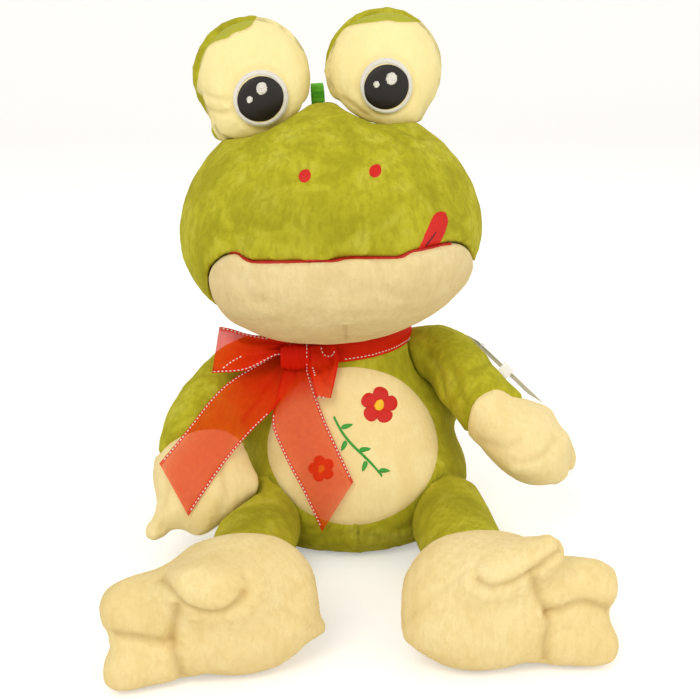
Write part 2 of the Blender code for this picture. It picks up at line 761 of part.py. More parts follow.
def build_eye(side, head):
    """Build one eye pod with its embroidered iris."""
    frame = eye_frame(side)
    back = cushion_half(f"eye_back_{side}", frame, EYE_RADIUS, -EYE_BACK_SWELL, EYE_BACK_PEAK_SHARE)
    seam = frame @ Matrix.Translation((0, 0, SEAM_GAP))
    front = cushion_half(f"eye_front_{side}", seam, EYE_RADIUS, EYE_FRONT_SWELL)
    cut_clear(back, head)
    keep_part(back, len)
    whole_front = copy_of(front, "eye_face_form")
    cut_clear(front, head)
    keep_part(front, len)
    across, up = (share * EYE_RADIUS for share in IRIS_CENTRE_SHARES[side])
    place = frame @ Matrix.Translation((across, up, 0))
    reach = EYE_FRONT_SWELL + CUT_OVERRUN
    outer = SEAM_GAP + EMBROIDERY_THICKNESS
    pieces = {back.name: back, front.name: front}
    ring = applique(f"iris_ring_{side}", ellipse(IRIS_RADIUS, IRIS_RADIUS), place, reach,
                    whole_front, SEAM_GAP, outer)
    hole = prism("pupil_hole", ellipse(PUPIL_RADIUS + SEAM_GAP, PUPIL_RADIUS + SEAM_GAP), place, reach)
    combine(ring, hole, "DIFFERENCE")
    discard(hole)
    keep_part(ring, len)
    pupil = applique(f"pupil_{side}", ellipse(PUPIL_RADIUS, PUPIL_RADIUS), place, reach,
                     whole_front, SEAM_GAP, outer)
    for patch in (ring, pupil):
        cut_clear(patch, head)
        keep_part(patch, len)
        pieces[patch.name] = patch
    spots = (("large", HIGHLIGHT_LARGE_RADIUS, HIGHLIGHT_LARGE_SHARES[side]),
             ("small", HIGHLIGHT_SMALL_RADIUS, HIGHLIGHT_SMALL_SHARES[side]))
    for size, radius, shares in spots:
        centre = (shares[0] * PUPIL_RADIUS, shares[1] * PUPIL_RADIUS)
        name = f"highlight_{size}_{side}"
        pieces[name] = applique(name, ellipse(radius, radius, centre, 12), place, reach, whole_front,
                                outer + SEAM_GAP, outer + SEAM_GAP + EMBROIDERY_THICKNESS)
    discard(whole_front)
    return pieces


def flower_outline(radius, centre):
    """Return the outline of a flower of five round petals."""
    points = []
    for index in range(FLOWER_POINTS):
        turn = math.tau * index / FLOWER_POINTS
        petal = abs(math.cos(FLOWER_PETALS / 2 * turn)) ** PETAL_ROUNDNESS
        reach = radius * (FLOWER_NOTCH_SHARE + (1 - FLOWER_NOTCH_SHARE) * petal)
        angle = turn + math.pi / 2
        points.append((centre[0] + reach * math.cos(angle), centre[1] + reach * math.sin(angle)))
    return points


def sprig_outline(stem):
    """Return the outline of a stem with leaves on alternate sides."""
    edges = {1: [], -1: []}
    last = len(stem) - 1
    for index, point in enumerate(stem):
        run = (stem[min(index + 1, last)] - stem[max(index - 1, 0)]).normalized()
        for sign, edge in edges.items():
            root = point + Vector((-run.y, run.x)) * sign * SPRIG_WIDTH / 2
            if index in (0, last) or (index % 2 == 1) != (sign == 1):
                edge.append(root)
                continue
            way = Matrix.Rotation(sign * SPRIG_LEAF_ANGLE, 2) @ run
            back = Vector((-way.y, way.x)) * sign * SPRIG_LEAF_WIDTH / 2
            edge.append(root - run * SPRIG_WIDTH / 2)
            for along, swell in SPRIG_LEAF_SHARES:
                edge.append(root + way * SPRIG_LEAF_LENGTH * along + back * swell)
            edge.append(root + run * SPRIG_WIDTH / 2)
    return edges[1] + edges[-1][::-1]


def build_belly(form):
    """Sew the round belly panel with its embroidered flowers and sprig."""
    frame = facing_frame(torso_frame(), 0, BELLY_HEIGHT)
    reach = TORSO_HALF_DEPTH + CUT_OVERRUN
    panel_outer = SEAM_GAP + PANEL_THICKNESS
    inner = panel_outer + SEAM_GAP
    outer = inner + EMBROIDERY_THICKNESS
    pieces = {}
    outline = ellipse(BELLY_HALF_WIDTH, BELLY_HALF_HEIGHT, segments=32)
    pieces["belly_panel"] = applique("belly_panel", outline, frame, reach, form, SEAM_GAP, panel_outer)
    flowers = (("large", FLOWER_LARGE_RADIUS, FLOWER_LARGE_PLACE_SHARES),
               ("small", FLOWER_SMALL_RADIUS, FLOWER_SMALL_PLACE_SHARES))
    for size, radius, shares in flowers:
        centre = (shares[0] * BELLY_HALF_WIDTH, shares[1] * BELLY_HALF_HEIGHT)
        petals = f"flower_petals_{size}"
        pieces[petals] = applique(petals, flower_outline(radius, centre), frame, reach, form, inner, outer)
        core_radius = radius * FLOWER_CENTRE_SHARE
        core = f"flower_centre_{size}"
        pieces[core] = applique(core, ellipse(core_radius, core_radius, centre, 12), frame, reach, form,
                                outer + SEAM_GAP, outer + SEAM_GAP + EMBROIDERY_THICKNESS)
    stem = [Vector((across * BELLY_HALF_WIDTH, up * BELLY_HALF_HEIGHT)) for across, up in SPRIG_STEM_SHARES]
    sprig = applique("sprig", sprig_outline(stem), frame, reach, form, inner, outer)
    pieces["sprig"] = sprig
    return pieces


def shoulder_frame(side):
    """Return the arm seat's frame: X out of the shoulder, -Z the way the arm hangs at zero swing."""
    sign = SIDES[side]
    rows = smooth_rows(TORSO_PROFILE_SHARES, 80)
    share = SHOULDER_HEIGHT / TORSO_HEIGHT
    nearest = min(rows, key=lambda row: abs(row[0] - share))
    seat = nearest[1] * TORSO_HALF_WIDTH * SHOULDER_SEAT_SHARE
    place = torso_frame() @ Matrix.Translation((sign * seat, 0, SHOULDER_HEIGHT))
    mirror = Matrix.Scale(sign, 4, Vector((1, 0, 0)))
    return place @ mirror @ Matrix.Rotation(-SHOULDER_TILT, 4, "Y")


def outward(side, way):
    """Return a direction given as outward, back and up for one side."""
    return Vector((SIDES[side] * way[0], way[1], way[2])).normalized()


def hand_frame(side):
    """Return the hand's frame at the cuff: X across the palm, Y out of its back, Z along the fingers."""
    point = Vector((SIDES[side] * CUFF_OUT[side], -CUFF_FORWARD[side], CUFF_HEIGHT[side]))
    way = outward(side, FINGERS_WAY_SHARES[side])
    facing = outward(side, PALM_FACING_SHARES[side])
    return frame_along(point, way, facing.cross(way))


def arm_path(side):
    """Return points and directions of the arm's centre line, from its seat to its cuff."""
    shoulder = shoulder_frame(side)
    cuff = hand_frame(side)
    seat = shoulder.translation
    out = (shoulder.to_3x3() @ Vector((1, 0, 0))).normalized()
    way = cuff.to_3x3() @ Vector((0, 0, 1))
    start = seat + out * ARM_ROOT_RUN
    end = cuff.translation
    bend = interpolate_bezier(
        start, start + out * ARM_ROOT_HANDLE, end - way * ARM_CUFF_HANDLE, end, ARM_STATIONS)
    points = [seat, *bend]
    ways = [out, out]
    for before, after in zip(bend, bend[2:]):
        ways.append((after - before).normalized())
    ways.append(way)
    return list(zip(points, ways))


def sleeve_form(side):
    """Loft the bent green sleeve, round at the shoulder and flat at the cuff."""
    path = arm_path(side)
    last = len(path) - 1
    palm_across = (hand_frame(side).to_3x3() @ Vector((1, 0, 0))).normalized()
    up = (shoulder_frame(side).to_3x3() @ Vector((0, 1, 0))).normalized()
    up = -up if up.dot(palm_across) < 0 else up
    rings = []
    for index, (point, way) in enumerate(path):
        share = (max(index - 1, 0) / (last - 1)) ** 2
        half_wide = SLEEVE_RADIUS + share * (CUFF_HALF_WIDTH - SLEEVE_RADIUS)
        half_thick = SLEEVE_RADIUS + share * (CUFF_HALF_THICKNESS - SLEEVE_RADIUS)
        across = up.lerp(palm_across, share)
        rings.append(ring_points(frame_along(point, way, across), half_wide, half_thick, SLEEVE_SEGMENTS))
    return loft(f"arm_{side}", rings)


def cuff_dome(side):
    """Return the round form that marks where cream takes over from green on the sleeve."""
    across, through, along = CUFF_DOME_HALF_SIZES[side]
    rings = []
    for index in range(1, STUFFED_RINGS):
        angle = math.pi * index / STUFFED_RINGS
        level = CUFF_DOME_REACH[side] - along * math.cos(angle)
        place = hand_frame(side) @ Matrix.Translation((0, 0, level))
        swell = math.sin(angle)
        rings.append(ring_points(place, across * swell, through * swell, CUFF_DOME_SEGMENTS))
    return loft("dome", rings)


def hand_form(side, sleeve):
    """Join the cream end of the sleeve, the palm and the fingers into one stuffed mitten."""
    frame = hand_frame(side)
    thickness_axis = (frame.to_3x3() @ Vector((0, 1, 0))).normalized()
    rings = []
    for index in range(1, STUFFED_RINGS):
        angle = math.pi * index / STUFFED_RINGS
        place = frame @ Matrix.Translation((0, 0, PALM_REACH - PALM_HALF_LENGTH * math.cos(angle)))
        half_thick = PALM_HALF_THICKNESS * math.sin(angle) ** PALM_FULLNESS
        rings.append(ring_points(place, PALM_HALF_WIDTH * math.sin(angle), half_thick, PALM_SEGMENTS))
    palm = loft(f"hand_{side}", rings)
    for root, tip, root_share, tip_share in FINGER_SHARES:
        start = frame @ Vector((-SIDES[side] * root[0] * PALM_HALF_WIDTH, 0, root[1] * PALM_HALF_WIDTH))
        end = frame @ Vector((-SIDES[side] * tip[0] * PALM_HALF_WIDTH, 0, tip[1] * PALM_HALF_WIDTH))
        finger = lobe("finger", start, end, root_share * PALM_HALF_WIDTH, tip_share * PALM_HALF_WIDTH,
                      thickness_axis, FINGER_FLATNESS_SHARE)
        combine(palm, finger, "UNION")
        discard(finger)
    soften(palm, HAND_VOXEL)
    cap = copy_of(sleeve, "cap")
    dome = cuff_dome(side)
    combine(cap, dome, "INTERSECT")
    combine(palm, cap, "UNION")
    discard(cap)
    discard(dome)
    return palm


def build_arm(side, torso, collar):
    """Build one sleeve and its hand; cut their round seat in the torso and the ribbon."""
    frame = shoulder_frame(side)
    turned = frame @ Matrix.Rotation(math.pi / 2, 4, "Y")
    seat = prism("seat", ellipse(SLEEVE_RADIUS + SEAM_GAP, SLEEVE_RADIUS + SEAM_GAP, segments=48),
                 turned @ Matrix.Translation((0, 0, -SEAM_GAP)), CUT_OVERRUN)
    combine(torso, seat, "DIFFERENCE")
    combine(collar, seat, "DIFFERENCE")
    discard(seat)
    sleeve = sleeve_form(side)
    hand = hand_form(side, sleeve)
    cut_clear(sleeve, hand)
    root = frame.translation
    keep_part(sleeve, lambda part: -min((vert.co - root).length for vert in part))
    return {sleeve.name: sleeve, hand.name: hand}


def foot_frame(side):
    """Return the foot's frame at its middle: X toward the toes, Y up, Z out of the sole."""
    sign = SIDES[side]
    rise = FOOT_HALF_HEIGHT * math.cos(FOOT_TILT) + FOOT_HALF_THICKNESS * math.sin(FOOT_TILT) / 2
    place = Matrix.Translation((sign * FOOT_OUTWARD[side], -FOOT_REACH[side], rise - FLOOR_CUT))
    mirror = Matrix.Scale(sign, 4, Vector((1, 0, 0)))
    yaw = Matrix.Rotation(FOOT_YAW[side], 4, "Z")
    return place @ mirror @ yaw @ Matrix.Rotation(math.pi / 2 - FOOT_TILT, 4, "X")


def foot_form(side):
    """Join the foot's pad, three toes and pointed heel into one stuffed skin."""
    frame = foot_frame(side)
    out = (frame.to_3x3() @ Vector((0, 0, 1))).normalized()
    rings = []
    for index in range(1, STUFFED_RINGS):
        angle = math.pi * index / STUFFED_RINGS
        shift = -FOOT_PAD_INSET_SHARE * FOOT_HALF_LENGTH
        place = frame @ Matrix.Translation((shift, 0, -FOOT_HALF_THICKNESS * math.cos(angle)))
        swell = math.sin(angle) ** FOOT_FULLNESS
        rings.append(ring_points(place, FOOT_HALF_LENGTH * swell, FOOT_HALF_HEIGHT * swell,
                                 FOOT_SEGMENTS, FOOT_SQUARENESS))
    pad = loft(f"foot_{side}", rings)
    for root, tip, root_share, tip_share in TOE_SHARES[side]:
        start = frame @ (Vector(root) * FOOT_HALF_LENGTH)
        end = frame @ (Vector(tip) * FOOT_HALF_LENGTH)
        toe = lobe("toe", start, end, root_share * FOOT_HALF_LENGTH, tip_share * FOOT_HALF_LENGTH, out, 1)
        combine(pad, toe, "UNION")
        discard(toe)
    soften(pad, FOOT_VOXEL)
    lowest = min(vert.co.z for vert in pad.data.vertices)
    pad.data.transform(Matrix.Translation((0, 0, -lowest - FLOOR_CUT)))
    cut_at_floor(pad)
    return pad


def hand_sweep(side, hand):
    """Return copies of the hand along the start of its forward swing."""
    seat = shoulder_frame(side)
    copies = []
    for angle in HAND_SWEEP_ANGLES:
        twin = copy_of(hand, "hand_press")
        twin.data.transform(seat @ Matrix.Rotation(-angle, 4, "X") @ seat.inverted())
        copies.append(twin)
    return copies


def hip_point(side):
    """Return the hip joint's place."""
    return Vector((SIDES[side] * HIP_SPACING / 2, -HIP_FORWARD, HIP_HEIGHT))


def build_leg(side, larger, presses):
    """Build the soft hip root and the leg between torso and foot, pressed in where the hand passes."""
    hip = hip_point(side)
    ankle = foot_frame(side) @ Vector((-FOOT_PAD_INSET_SHARE * FOOT_HALF_LENGTH / 2, 0, 0))
    ankle.z = ANKLE_HEIGHT
    way = (ankle - hip).normalized()
    length = (ankle - hip).length
    across = Vector((1, 0, 0))
    pieces = {}
    root = HIP_ROOT_SHARE * length
    spans = ((f"hip_{side}", root, HIP_SPLIT), (f"leg_{side}", HIP_SPLIT + SEAM_GAP, length))
    for name, start, end in spans:
        rings = []
        for index in range(LEG_RINGS):
            reach = start + (end - start) * index / (LEG_RINGS - 1)
            share = reach / length
            radius = LEG_RADIUS + (ANKLE_RADIUS - LEG_RADIUS) * share
            swell = 1 + LEG_SWELL_SHARE * math.sin(math.pi * share)
            place = frame_along(hip + way * reach, way, across)
            rings.append(ring_points(place, radius * swell, radius * swell, LEG_SEGMENTS))
        piece = loft(name, rings)
        cut_at_floor(piece, FLOOR_CUT * 2)
        for form in larger:
            cut_clear(piece, form)
        for press in presses:
            cut_clear(piece, press, HAND_REST_GAP)
        keep_part(piece, len)
        pieces[name] = piece
    return pieces


def build_hanging_loop(head, tree):
    """Sew the tape loop to the crown, between the eyes."""
    frame = head_frame()
    top = frame @ Vector((0, HEAD_FORWARD - LOOP_FORWARD, HEAD_HEIGHT * 2))
    down = -(frame.to_3x3() @ Vector((0, 0, 1)))
    hit = tree.ray_cast(top, down)[0]
    side_way = (frame.to_3x3() @ Vector((0, 1, 0))).normalized()
    path = []
    for index in range(LOOP_STEPS + 1):
        angle = math.pi * index / LOOP_STEPS
        across = LOOP_HALF_SPAN * math.cos(angle)
        rise = (LOOP_RISE - LOOP_HALF_SPAN) + LOOP_HALF_SPAN * math.sin(angle)
        path.append(hit + side_way * across - down * rise)
    sink = down * LOOP_HALF_SPAN
    path = [hit + side_way * LOOP_HALF_SPAN + sink] + path + [hit - side_way * LOOP_HALF_SPAN + sink]
    mesh = bmesh.new()
    forward = (frame.to_3x3() @ Vector((1, 0, 0))).normalized() * (LOOP_TAPE_WIDTH / 2)
    rows = []
    for point in path:
        rows.append((mesh.verts.new(point - forward), mesh.verts.new(point + forward)))
    for low, high in zip(rows, rows[1:]):
        mesh.faces.new((low[0], low[1], high[1], high[0]))
    loop = make_object("hanging_loop", mesh)
    wall = loop.modifiers.new("tape", "SOLIDIFY")
    wall.thickness = LOOP_TAPE_THICKNESS
    wall.offset = 0
    wall.use_even_offset = True
    bake(loop)
    cut_clear(loop, head)
    keep_part(loop, len)
    return loop


def build_collar(form):
    """Wrap the ribbon's band round the neck."""
    frame = torso_frame() @ Matrix.Translation((0, 0, COLLAR_HEIGHT)) @ Matrix.Rotation(COLLAR_TILT, 4, "Y")
    low = frame @ Matrix.Translation((0, 0, -COLLAR_HALF_BAND))
    outline = ellipse(TORSO_HALF_WIDTH, TORSO_HALF_DEPTH, segments=16)
    band = prism("collar_ribbon", outline, low, COLLAR_HALF_BAND * 2)
    skin = grown(form, SEAM_GAP + RIBBON_THICKNESS)
    combine(band, skin, "INTERSECT")
    discard(skin)
    cut_clear(band, form)
    keep_part(band, len)
    return band


def front_hit(tree, x, z):
    """Return where a line from the front meets the skins, or None."""
    start = Vector((x, -SIGHT_DISTANCE, z))
    hit = tree.ray_cast(start, Vector((0, 1, 0)))[0]
    return hit.y if hit else None


def sheet_solid(name, rows, thickness):
    """Skin a strip of points and thicken it toward the front."""
    mesh = bmesh.new()
    out = Vector((0, -thickness, 0))
    back = [[mesh.verts.new(point) for point in row] for row in rows]
    front = [[mesh.verts.new(point + out) for point in row] for row in rows]
    for sheet in (back, front):
        for low, high in zip(sheet, sheet[1:]):
            for index in range(len(low) - 1):
                mesh.faces.new((low[index], low[index + 1], high[index + 1], high[index]))
    rims = [(back[index], front[index]) for index in (0, -1)]
    for edge in (0, -1):
        rims.append(([row[edge] for row in back], [row[edge] for row in front]))
    for low, high in rims:
        for index in range(len(low) - 1):
            mesh.faces.new((low[index], low[index + 1], high[index + 1], high[index]))
    return make_object(name, mesh)


def build_tail(side, tree, knot):
    """Drape a ribbon tail from the knot over what lies behind it."""
    heading = TAIL_HEADING[side]
    way = Vector((math.cos(heading), 0, math.sin(heading)))
    across = Vector((-way.z, 0, way.x))
    columns = (-0.5, -0.25, 0, 0.25, 0.5)
    places = []
    depths = []
    for index in range(TAIL_STATIONS):
        share = index / (TAIL_STATIONS - 1)
        width = RIBBON_WIDTH * min(1, TAIL_ROOT_SHARE + share * TAIL_WIDENING)
        row = []
        for column in columns:
            slant = TAIL_END_SLANT_SHARE[side] * column * RIBBON_WIDTH * share
            run = KNOT_HALF_HEIGHT + (TAIL_LENGTH[side] - KNOT_HALF_HEIGHT) * share + slant
            row.append(knot + way * run + across * column * width)
        places.append(row)
        depths.append([front_hit(tree, point.x, point.z) for point in row])
    known = [depth for row in depths for depth in row if depth is not None]
    furthest = max(known)
    depths = [[furthest if depth is None else depth for depth in row] for row in depths]
    for _ in range(TAIL_SETTLE_ROUNDS):
        for index in range(1, TAIL_STATIONS - 1):
            for column in range(len(columns)):
                middle = (depths[index - 1][column] + depths[index + 1][column]) / 2
                depths[index][column] = min(depths[index][column], middle)
        for row in depths:
            for column in range(1, len(columns) - 1):
                row[column] = min(row[column], (row[column - 1] + row[column + 1]) / 2)
    for column in range(len(columns)):
        depths[-1][column] = min(depths[-1][column], 2 * depths[-2][column] - depths[-3][column])
    rows = []
    for places_row, depth_row in zip(places, depths):
        rows.append([Vector((point.x, depth - RIBBON_REST_GAP - TAIL_LIFT[side], point.z))
                     for point, depth in zip(places_row, depth_row)])
    return sheet_solid(f"bow_tail_{side}", rows, RIBBON_THICKNESS)


def build_bow_loop(side, tree, knot):
    """Make one flattened ribbon loop of the bow, open at its sides."""
    heading = BOW_LOOP_HEADING[side]
    length = BOW_LOOP_LENGTH[side]
    flat_way = Vector((math.cos(heading), 0, math.sin(heading)))
    across = Vector((-flat_way.z, 0, flat_way.x))
    tip = knot + flat_way * length
    steepest = 0
    for share in BOW_LOOP_TEST_SHARES:
        point = knot + flat_way * length * share
        hit = front_hit(tree, point.x, point.z)
        if hit is not None:
            steepest = max(steepest, (knot.y - hit) / share)
    tip.y = knot.y - steepest - BOW_LOOP_DEPTH / 2 - RIBBON_REST_GAP
    way = (tip - knot).normalized()
    out = across.cross(way)
    out = -out if out.y > 0 else out
    end_width = RIBBON_WIDTH * BOW_LOOP_END_SHARE[side]
    root_width = KNOT_HALF_HEIGHT * 2 * BOW_LOOP_ROOT_SHARE
    points = []
    root_lift = (RIBBON_THICKNESS + SEAM_GAP * 2) / 2
    for index in range(BOW_LOOP_STEPS + 1):
        round_share = BOW_LOOP_OPEN_SHARE + (2 - 2 * BOW_LOOP_OPEN_SHARE) * index / BOW_LOOP_STEPS
        angle = math.pi * round_share
        reach = (1 - math.cos(angle)) / 2
        layer = (index < BOW_LOOP_STEPS / 2) - (index > BOW_LOOP_STEPS / 2)
        swell = math.sin(angle) * math.sqrt(reach) * (BOW_LOOP_DEPTH / 2 - root_lift)
        run = KNOT_HALF_WIDTH + reach * (length - KNOT_HALF_WIDTH)
        place = knot + way * run + out * (layer * root_lift + swell)
        width = root_width + (end_width - root_width) * min(1, reach * BOW_LOOP_WIDENING)
        points.append((place, width))
    mesh = bmesh.new()
    rows = []
    for place, width in points:
        rows.append([mesh.verts.new(place + across * width * share) for share in (-0.5, 0, 0.5)])
    for low, high in zip(rows, rows[1:]):
        for index in range(2):
            mesh.faces.new((low[index], low[index + 1], high[index + 1], high[index]))
    loop = make_object(f"bow_loop_{side}", mesh)
    wall = loop.modifiers.new("cloth", "SOLIDIFY")
    wall.thickness = RIBBON_THICKNESS
    wall.offset = 0
    wall.use_even_offset = True
    bake(loop)
    return loop


def build_bow(form, skins):
    """Tie the knot with its two loops and two tails."""
    pieces = {}
    base = torso_frame() @ Vector((KNOT_ACROSS, 0, KNOT_HEIGHT))
    tree = skin_tree(skins)
    depth = front_hit(tree, base.x, base.z - KNOT_HALF_HEIGHT)
    knot_point = Vector((base.x, depth - KNOT_HALF_DEPTH - RIBBON_REST_GAP, base.z))
    rings = []
    for index in range(1, KNOT_RINGS):
        angle = math.pi * index / KNOT_RINGS
        swell = math.sqrt(math.sin(angle))
        place = Matrix.Translation(knot_point - Vector((0, 0, KNOT_HALF_HEIGHT * math.cos(angle))))
        rings.append(ring_points(place, KNOT_HALF_WIDTH * swell, KNOT_HALF_DEPTH * swell,
                                 KNOT_SEGMENTS, KNOT_SQUARENESS))
    knot = loft("bow_knot", rings)
    cut_clear(knot, form, SEAM_GAP * 2 + RIBBON_THICKNESS)
    pieces["bow_knot"] = knot
    layers = list(skins)
    strips = (("r", build_tail), ("l", build_tail), ("l", build_bow_loop), ("r", build_bow_loop))
    for side, build in strips:
        strip = build(side, skin_tree(layers), knot_point)
        cut_clear(strip, knot)
        keep_part(strip, len)
        pieces[strip.name] = strip
        layers.append(strip)
    return pieces


def build_tags(sleeve, hand):
    """Pin the card tag to the left sleeve and sew in the small satin label."""
    tree = skin_tree([sleeve])
    path = arm_path("l")
    start = path[TAG_STATION][0]
    along = Vector((math.cos(TAG_DROP), 0, -math.sin(TAG_DROP)))
    back = Vector((0, math.cos(TAG_BACK_TILT), -math.sin(TAG_BACK_TILT)))
    up = along.cross(back).normalized()
    back = up.cross(along)
    reach = SLEEVE_RADIUS + CUT_OVERRUN
    skins = [*sleeve.data.vertices, *hand.data.vertices]
    highest = max(up.dot(vert.co - start) for vert in skins)
    centre = start + up * (highest + TAG_CLEARANCE)
    card_frame = Matrix.Translation(centre) @ Matrix((along, back, up)).transposed().to_4x4()
    edge = TAG_HOLE_INSET
    outline = []
    corners = ((TAG_LENGTH - edge, TAG_WIDTH - edge, 0), (-edge, TAG_WIDTH - edge, 90),
               (-edge, -edge, 180), (TAG_LENGTH - edge, -edge, 270))
    for x, y, turn in corners:
        inset_x = x - TAG_CORNER if x > 0 else x + TAG_CORNER
        inset_y = y - TAG_CORNER if y > 0 else y + TAG_CORNER
        for step in range(TAG_CORNER_STEPS + 1):
            angle = math.radians(turn) + math.pi / 2 * step / TAG_CORNER_STEPS
            outline.append((inset_x + TAG_CORNER * math.cos(angle), inset_y + TAG_CORNER * math.sin(angle)))
    card = prism("hang_tag", outline, card_frame, TAG_THICKNESS)
    hole = prism("hole", ellipse(TAG_HOLE_RADIUS, TAG_HOLE_RADIUS, segments=14),
                 card_frame @ Matrix.Translation((0, 0, -CUT_OVERRUN)), CUT_OVERRUN * 2)
    combine(card, hole, "DIFFERENCE")
    discard(hole)
    foot = tree.ray_cast(centre, -up)[0]
    bar_level = TAG_THICKNESS + FASTENER_RADIUS + SEAM_GAP
    stem_low = foot + up * SEAM_GAP
    stem_high = centre + up * bar_level
    rings = []
    for point in (stem_low, stem_high):
        rings.append(ring_points(frame_along(point, up, along), FASTENER_RADIUS, FASTENER_RADIUS, 8))
    fastener = loft("tag_fastener", rings)
    bar_rings = []
    for sign in (-1, 1):
        point = stem_high + back * sign * FASTENER_BAR_LENGTH / 2
        bar_rings.append(ring_points(frame_along(point, back, up), FASTENER_RADIUS, FASTENER_RADIUS, 8))
    bar = loft("bar", bar_rings)
    combine(fastener, bar, "UNION")
    discard(bar)
    middle = path[LABEL_STATION][0] + along * LABEL_WIDTH - back * (TAG_HOLE_INSET + LABEL_SETBACK)
    label_frame = Matrix.Translation(middle) @ Matrix((along, up, along.cross(up))).transposed().to_4x4()
    half = LABEL_WIDTH / 2
    top = reach * LABEL_ROOT_SHARE + LABEL_LENGTH
    outline = [(-half, 0), (half, 0), (half, top), (-half, top)]
    label = prism("satin_label", outline, label_frame, LABEL_THICKNESS)
    cut_clear(label, sleeve)
    cut_clear(label, hand)
    keep_part(label, len)
    return {"hang_tag": card, "tag_fastener": fastener, "satin_label": label}, centre, up


def main():
    """Build every piece of the frog and hang the moving ones on their joints."""
    clear_scene()
    torso = torso_form()
    head = head_form()
    torso_skin = copy_of(torso, "torso_skin")
    head_skin = copy_of(head, "head_skin")
    muzzle = build_muzzle(head)
    cut_clear(head, muzzle)
    keep_part(head, len)
    mouth_line = build_mouth_line(head_skin, muzzle)
    face = build_face(head_skin, mouth_line)
    eyes = {}
    for side in SIDES:
        eyes.update(build_eye(side, head_skin))
    loop = build_hanging_loop(head_skin, skin_tree([head_skin]))
    neck_clearance = SEAM_GAP + RIBBON_THICKNESS + NECK_GAP
    cut_clear(head, torso_skin, neck_clearance)
    cut_clear(muzzle, torso_skin, neck_clearance)
    keep_part(head, len)
    keep_part(muzzle, len)
    belly = build_belly(torso_skin)
    collar = build_collar(torso_skin)
    arms = {}
    for side in SIDES:
        arms.update(build_arm(side, torso, collar))
    keep_part(torso, len)
    keep_part(collar, len)
    legs = {}
    for side in SIDES:
        foot = foot_form(side)
        legs[foot.name] = foot
        larger = [torso_skin, belly["belly_panel"], foot]
        presses = hand_sweep(side, arms[f"hand_{side}"])
        legs.update(build_leg(side, larger, presses))
        for press in presses:
            discard(press)
    draped = [torso_skin, arms["arm_r"], arms["hand_r"], collar, *belly.values()]
    bow = build_bow(torso_skin, draped)
    tags, tag_point, tag_axis = build_tags(arms["arm_l"], arms["hand_l"])

    green = [torso, head, arms["arm_l"], arms["arm_r"], eyes["eye_back_l"], eyes["eye_back_r"]]
    green += [legs[name] for name in ("hip_l", "hip_r", "leg_l", "leg_r")]
    cream = [muzzle, belly["belly_panel"], eyes["eye_front_l"], eyes["eye_front_r"]]
    cream += [arms["hand_l"], arms["hand_r"], legs["foot_l"], legs["foot_r"]]
    white = [eyes[name] for name in eyes if name.startswith(("iris_ring", "highlight"))]
    black = [eyes["pupil_l"], eyes["pupil_r"]]
    red = [face["nostril_l"], face["nostril_r"], face["tongue"]]
    red += [belly["flower_petals_large"], belly["flower_petals_small"]]
    yellow = [belly["flower_centre_large"], belly["flower_centre_small"]]
    finishes = ((green, GREEN_CLOTH), (cream, CREAM_CLOTH), (white, THREAD_WHITE), (black, THREAD_BLACK),
                (red, THREAD_RED), (yellow, THREAD_YELLOW), ([belly["sprig"]], THREAD_GREEN),
                ([mouth_line, face["tongue_line"]], THREAD_DARK_RED), ([loop], TAPE_GREEN),
                ([collar, *bow.values()], RIBBON_RED), ([tags["hang_tag"]], CARD_WHITE),
                ([tags["satin_label"]], THREAD_WHITE), ([tags["tag_fastener"]], CLEAR_PLASTIC))
    for pieces, colour in finishes:
        for piece in pieces:
            finish(piece, colour)

    neck = torso_frame() @ Vector((0, 0, neck_height()))
    joint_empty("neck_joint", neck, [head, muzzle, mouth_line, loop, *face.values(), *eyes.values()])
    for side in SIDES:
        carried = [arms[f"arm_{side}"], arms[f"hand_{side}"]]
        if side == "l":
            carried += [tags["satin_label"], tags["tag_fastener"]]
        joint_empty(f"shoulder_joint_{side}", shoulder_frame(side).translation, carried)
        joint_empty(f"hip_joint_{side}", hip_point(side), [legs[f"leg_{side}"], legs[f"foot_{side}"]])
    joint_empty("tag_joint", tag_point, [tags["hang_tag"]])
    discard(torso_skin)
    discard(head_skin)


main()
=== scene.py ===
"""Dressed scene of a sitting plush frog with a sheer red ribbon bow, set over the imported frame."""

import logging
import math
from dataclasses import dataclass, field, replace
from enum import Enum
from functools import cache
from typing import Callable, Sequence

import bmesh
import bpy
import numpy as np
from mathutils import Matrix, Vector, noise
from mathutils.bvhtree import BVHTree
from mathutils.kdtree import KDTree


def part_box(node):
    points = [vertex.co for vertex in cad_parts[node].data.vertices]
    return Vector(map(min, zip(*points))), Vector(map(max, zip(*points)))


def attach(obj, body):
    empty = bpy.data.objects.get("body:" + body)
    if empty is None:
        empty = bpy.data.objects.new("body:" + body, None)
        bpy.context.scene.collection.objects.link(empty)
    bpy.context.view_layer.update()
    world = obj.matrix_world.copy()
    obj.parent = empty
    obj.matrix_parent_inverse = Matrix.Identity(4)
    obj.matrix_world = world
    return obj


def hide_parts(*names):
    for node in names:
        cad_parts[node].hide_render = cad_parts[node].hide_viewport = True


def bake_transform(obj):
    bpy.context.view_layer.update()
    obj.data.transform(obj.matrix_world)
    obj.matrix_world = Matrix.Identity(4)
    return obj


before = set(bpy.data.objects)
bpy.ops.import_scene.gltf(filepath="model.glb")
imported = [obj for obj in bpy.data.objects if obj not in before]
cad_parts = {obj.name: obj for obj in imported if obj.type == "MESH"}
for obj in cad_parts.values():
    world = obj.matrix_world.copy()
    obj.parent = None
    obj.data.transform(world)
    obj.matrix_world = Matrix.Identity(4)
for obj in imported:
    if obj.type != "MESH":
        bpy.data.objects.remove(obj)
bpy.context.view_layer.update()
LOG = logging.getLogger("plush_frog")

Pixel = tuple[float, float]
Place = tuple[float, float, float]
Colour = tuple[float, float, float, float]
WHITE: Colour = (1.0, 1.0, 1.0, 1.0)


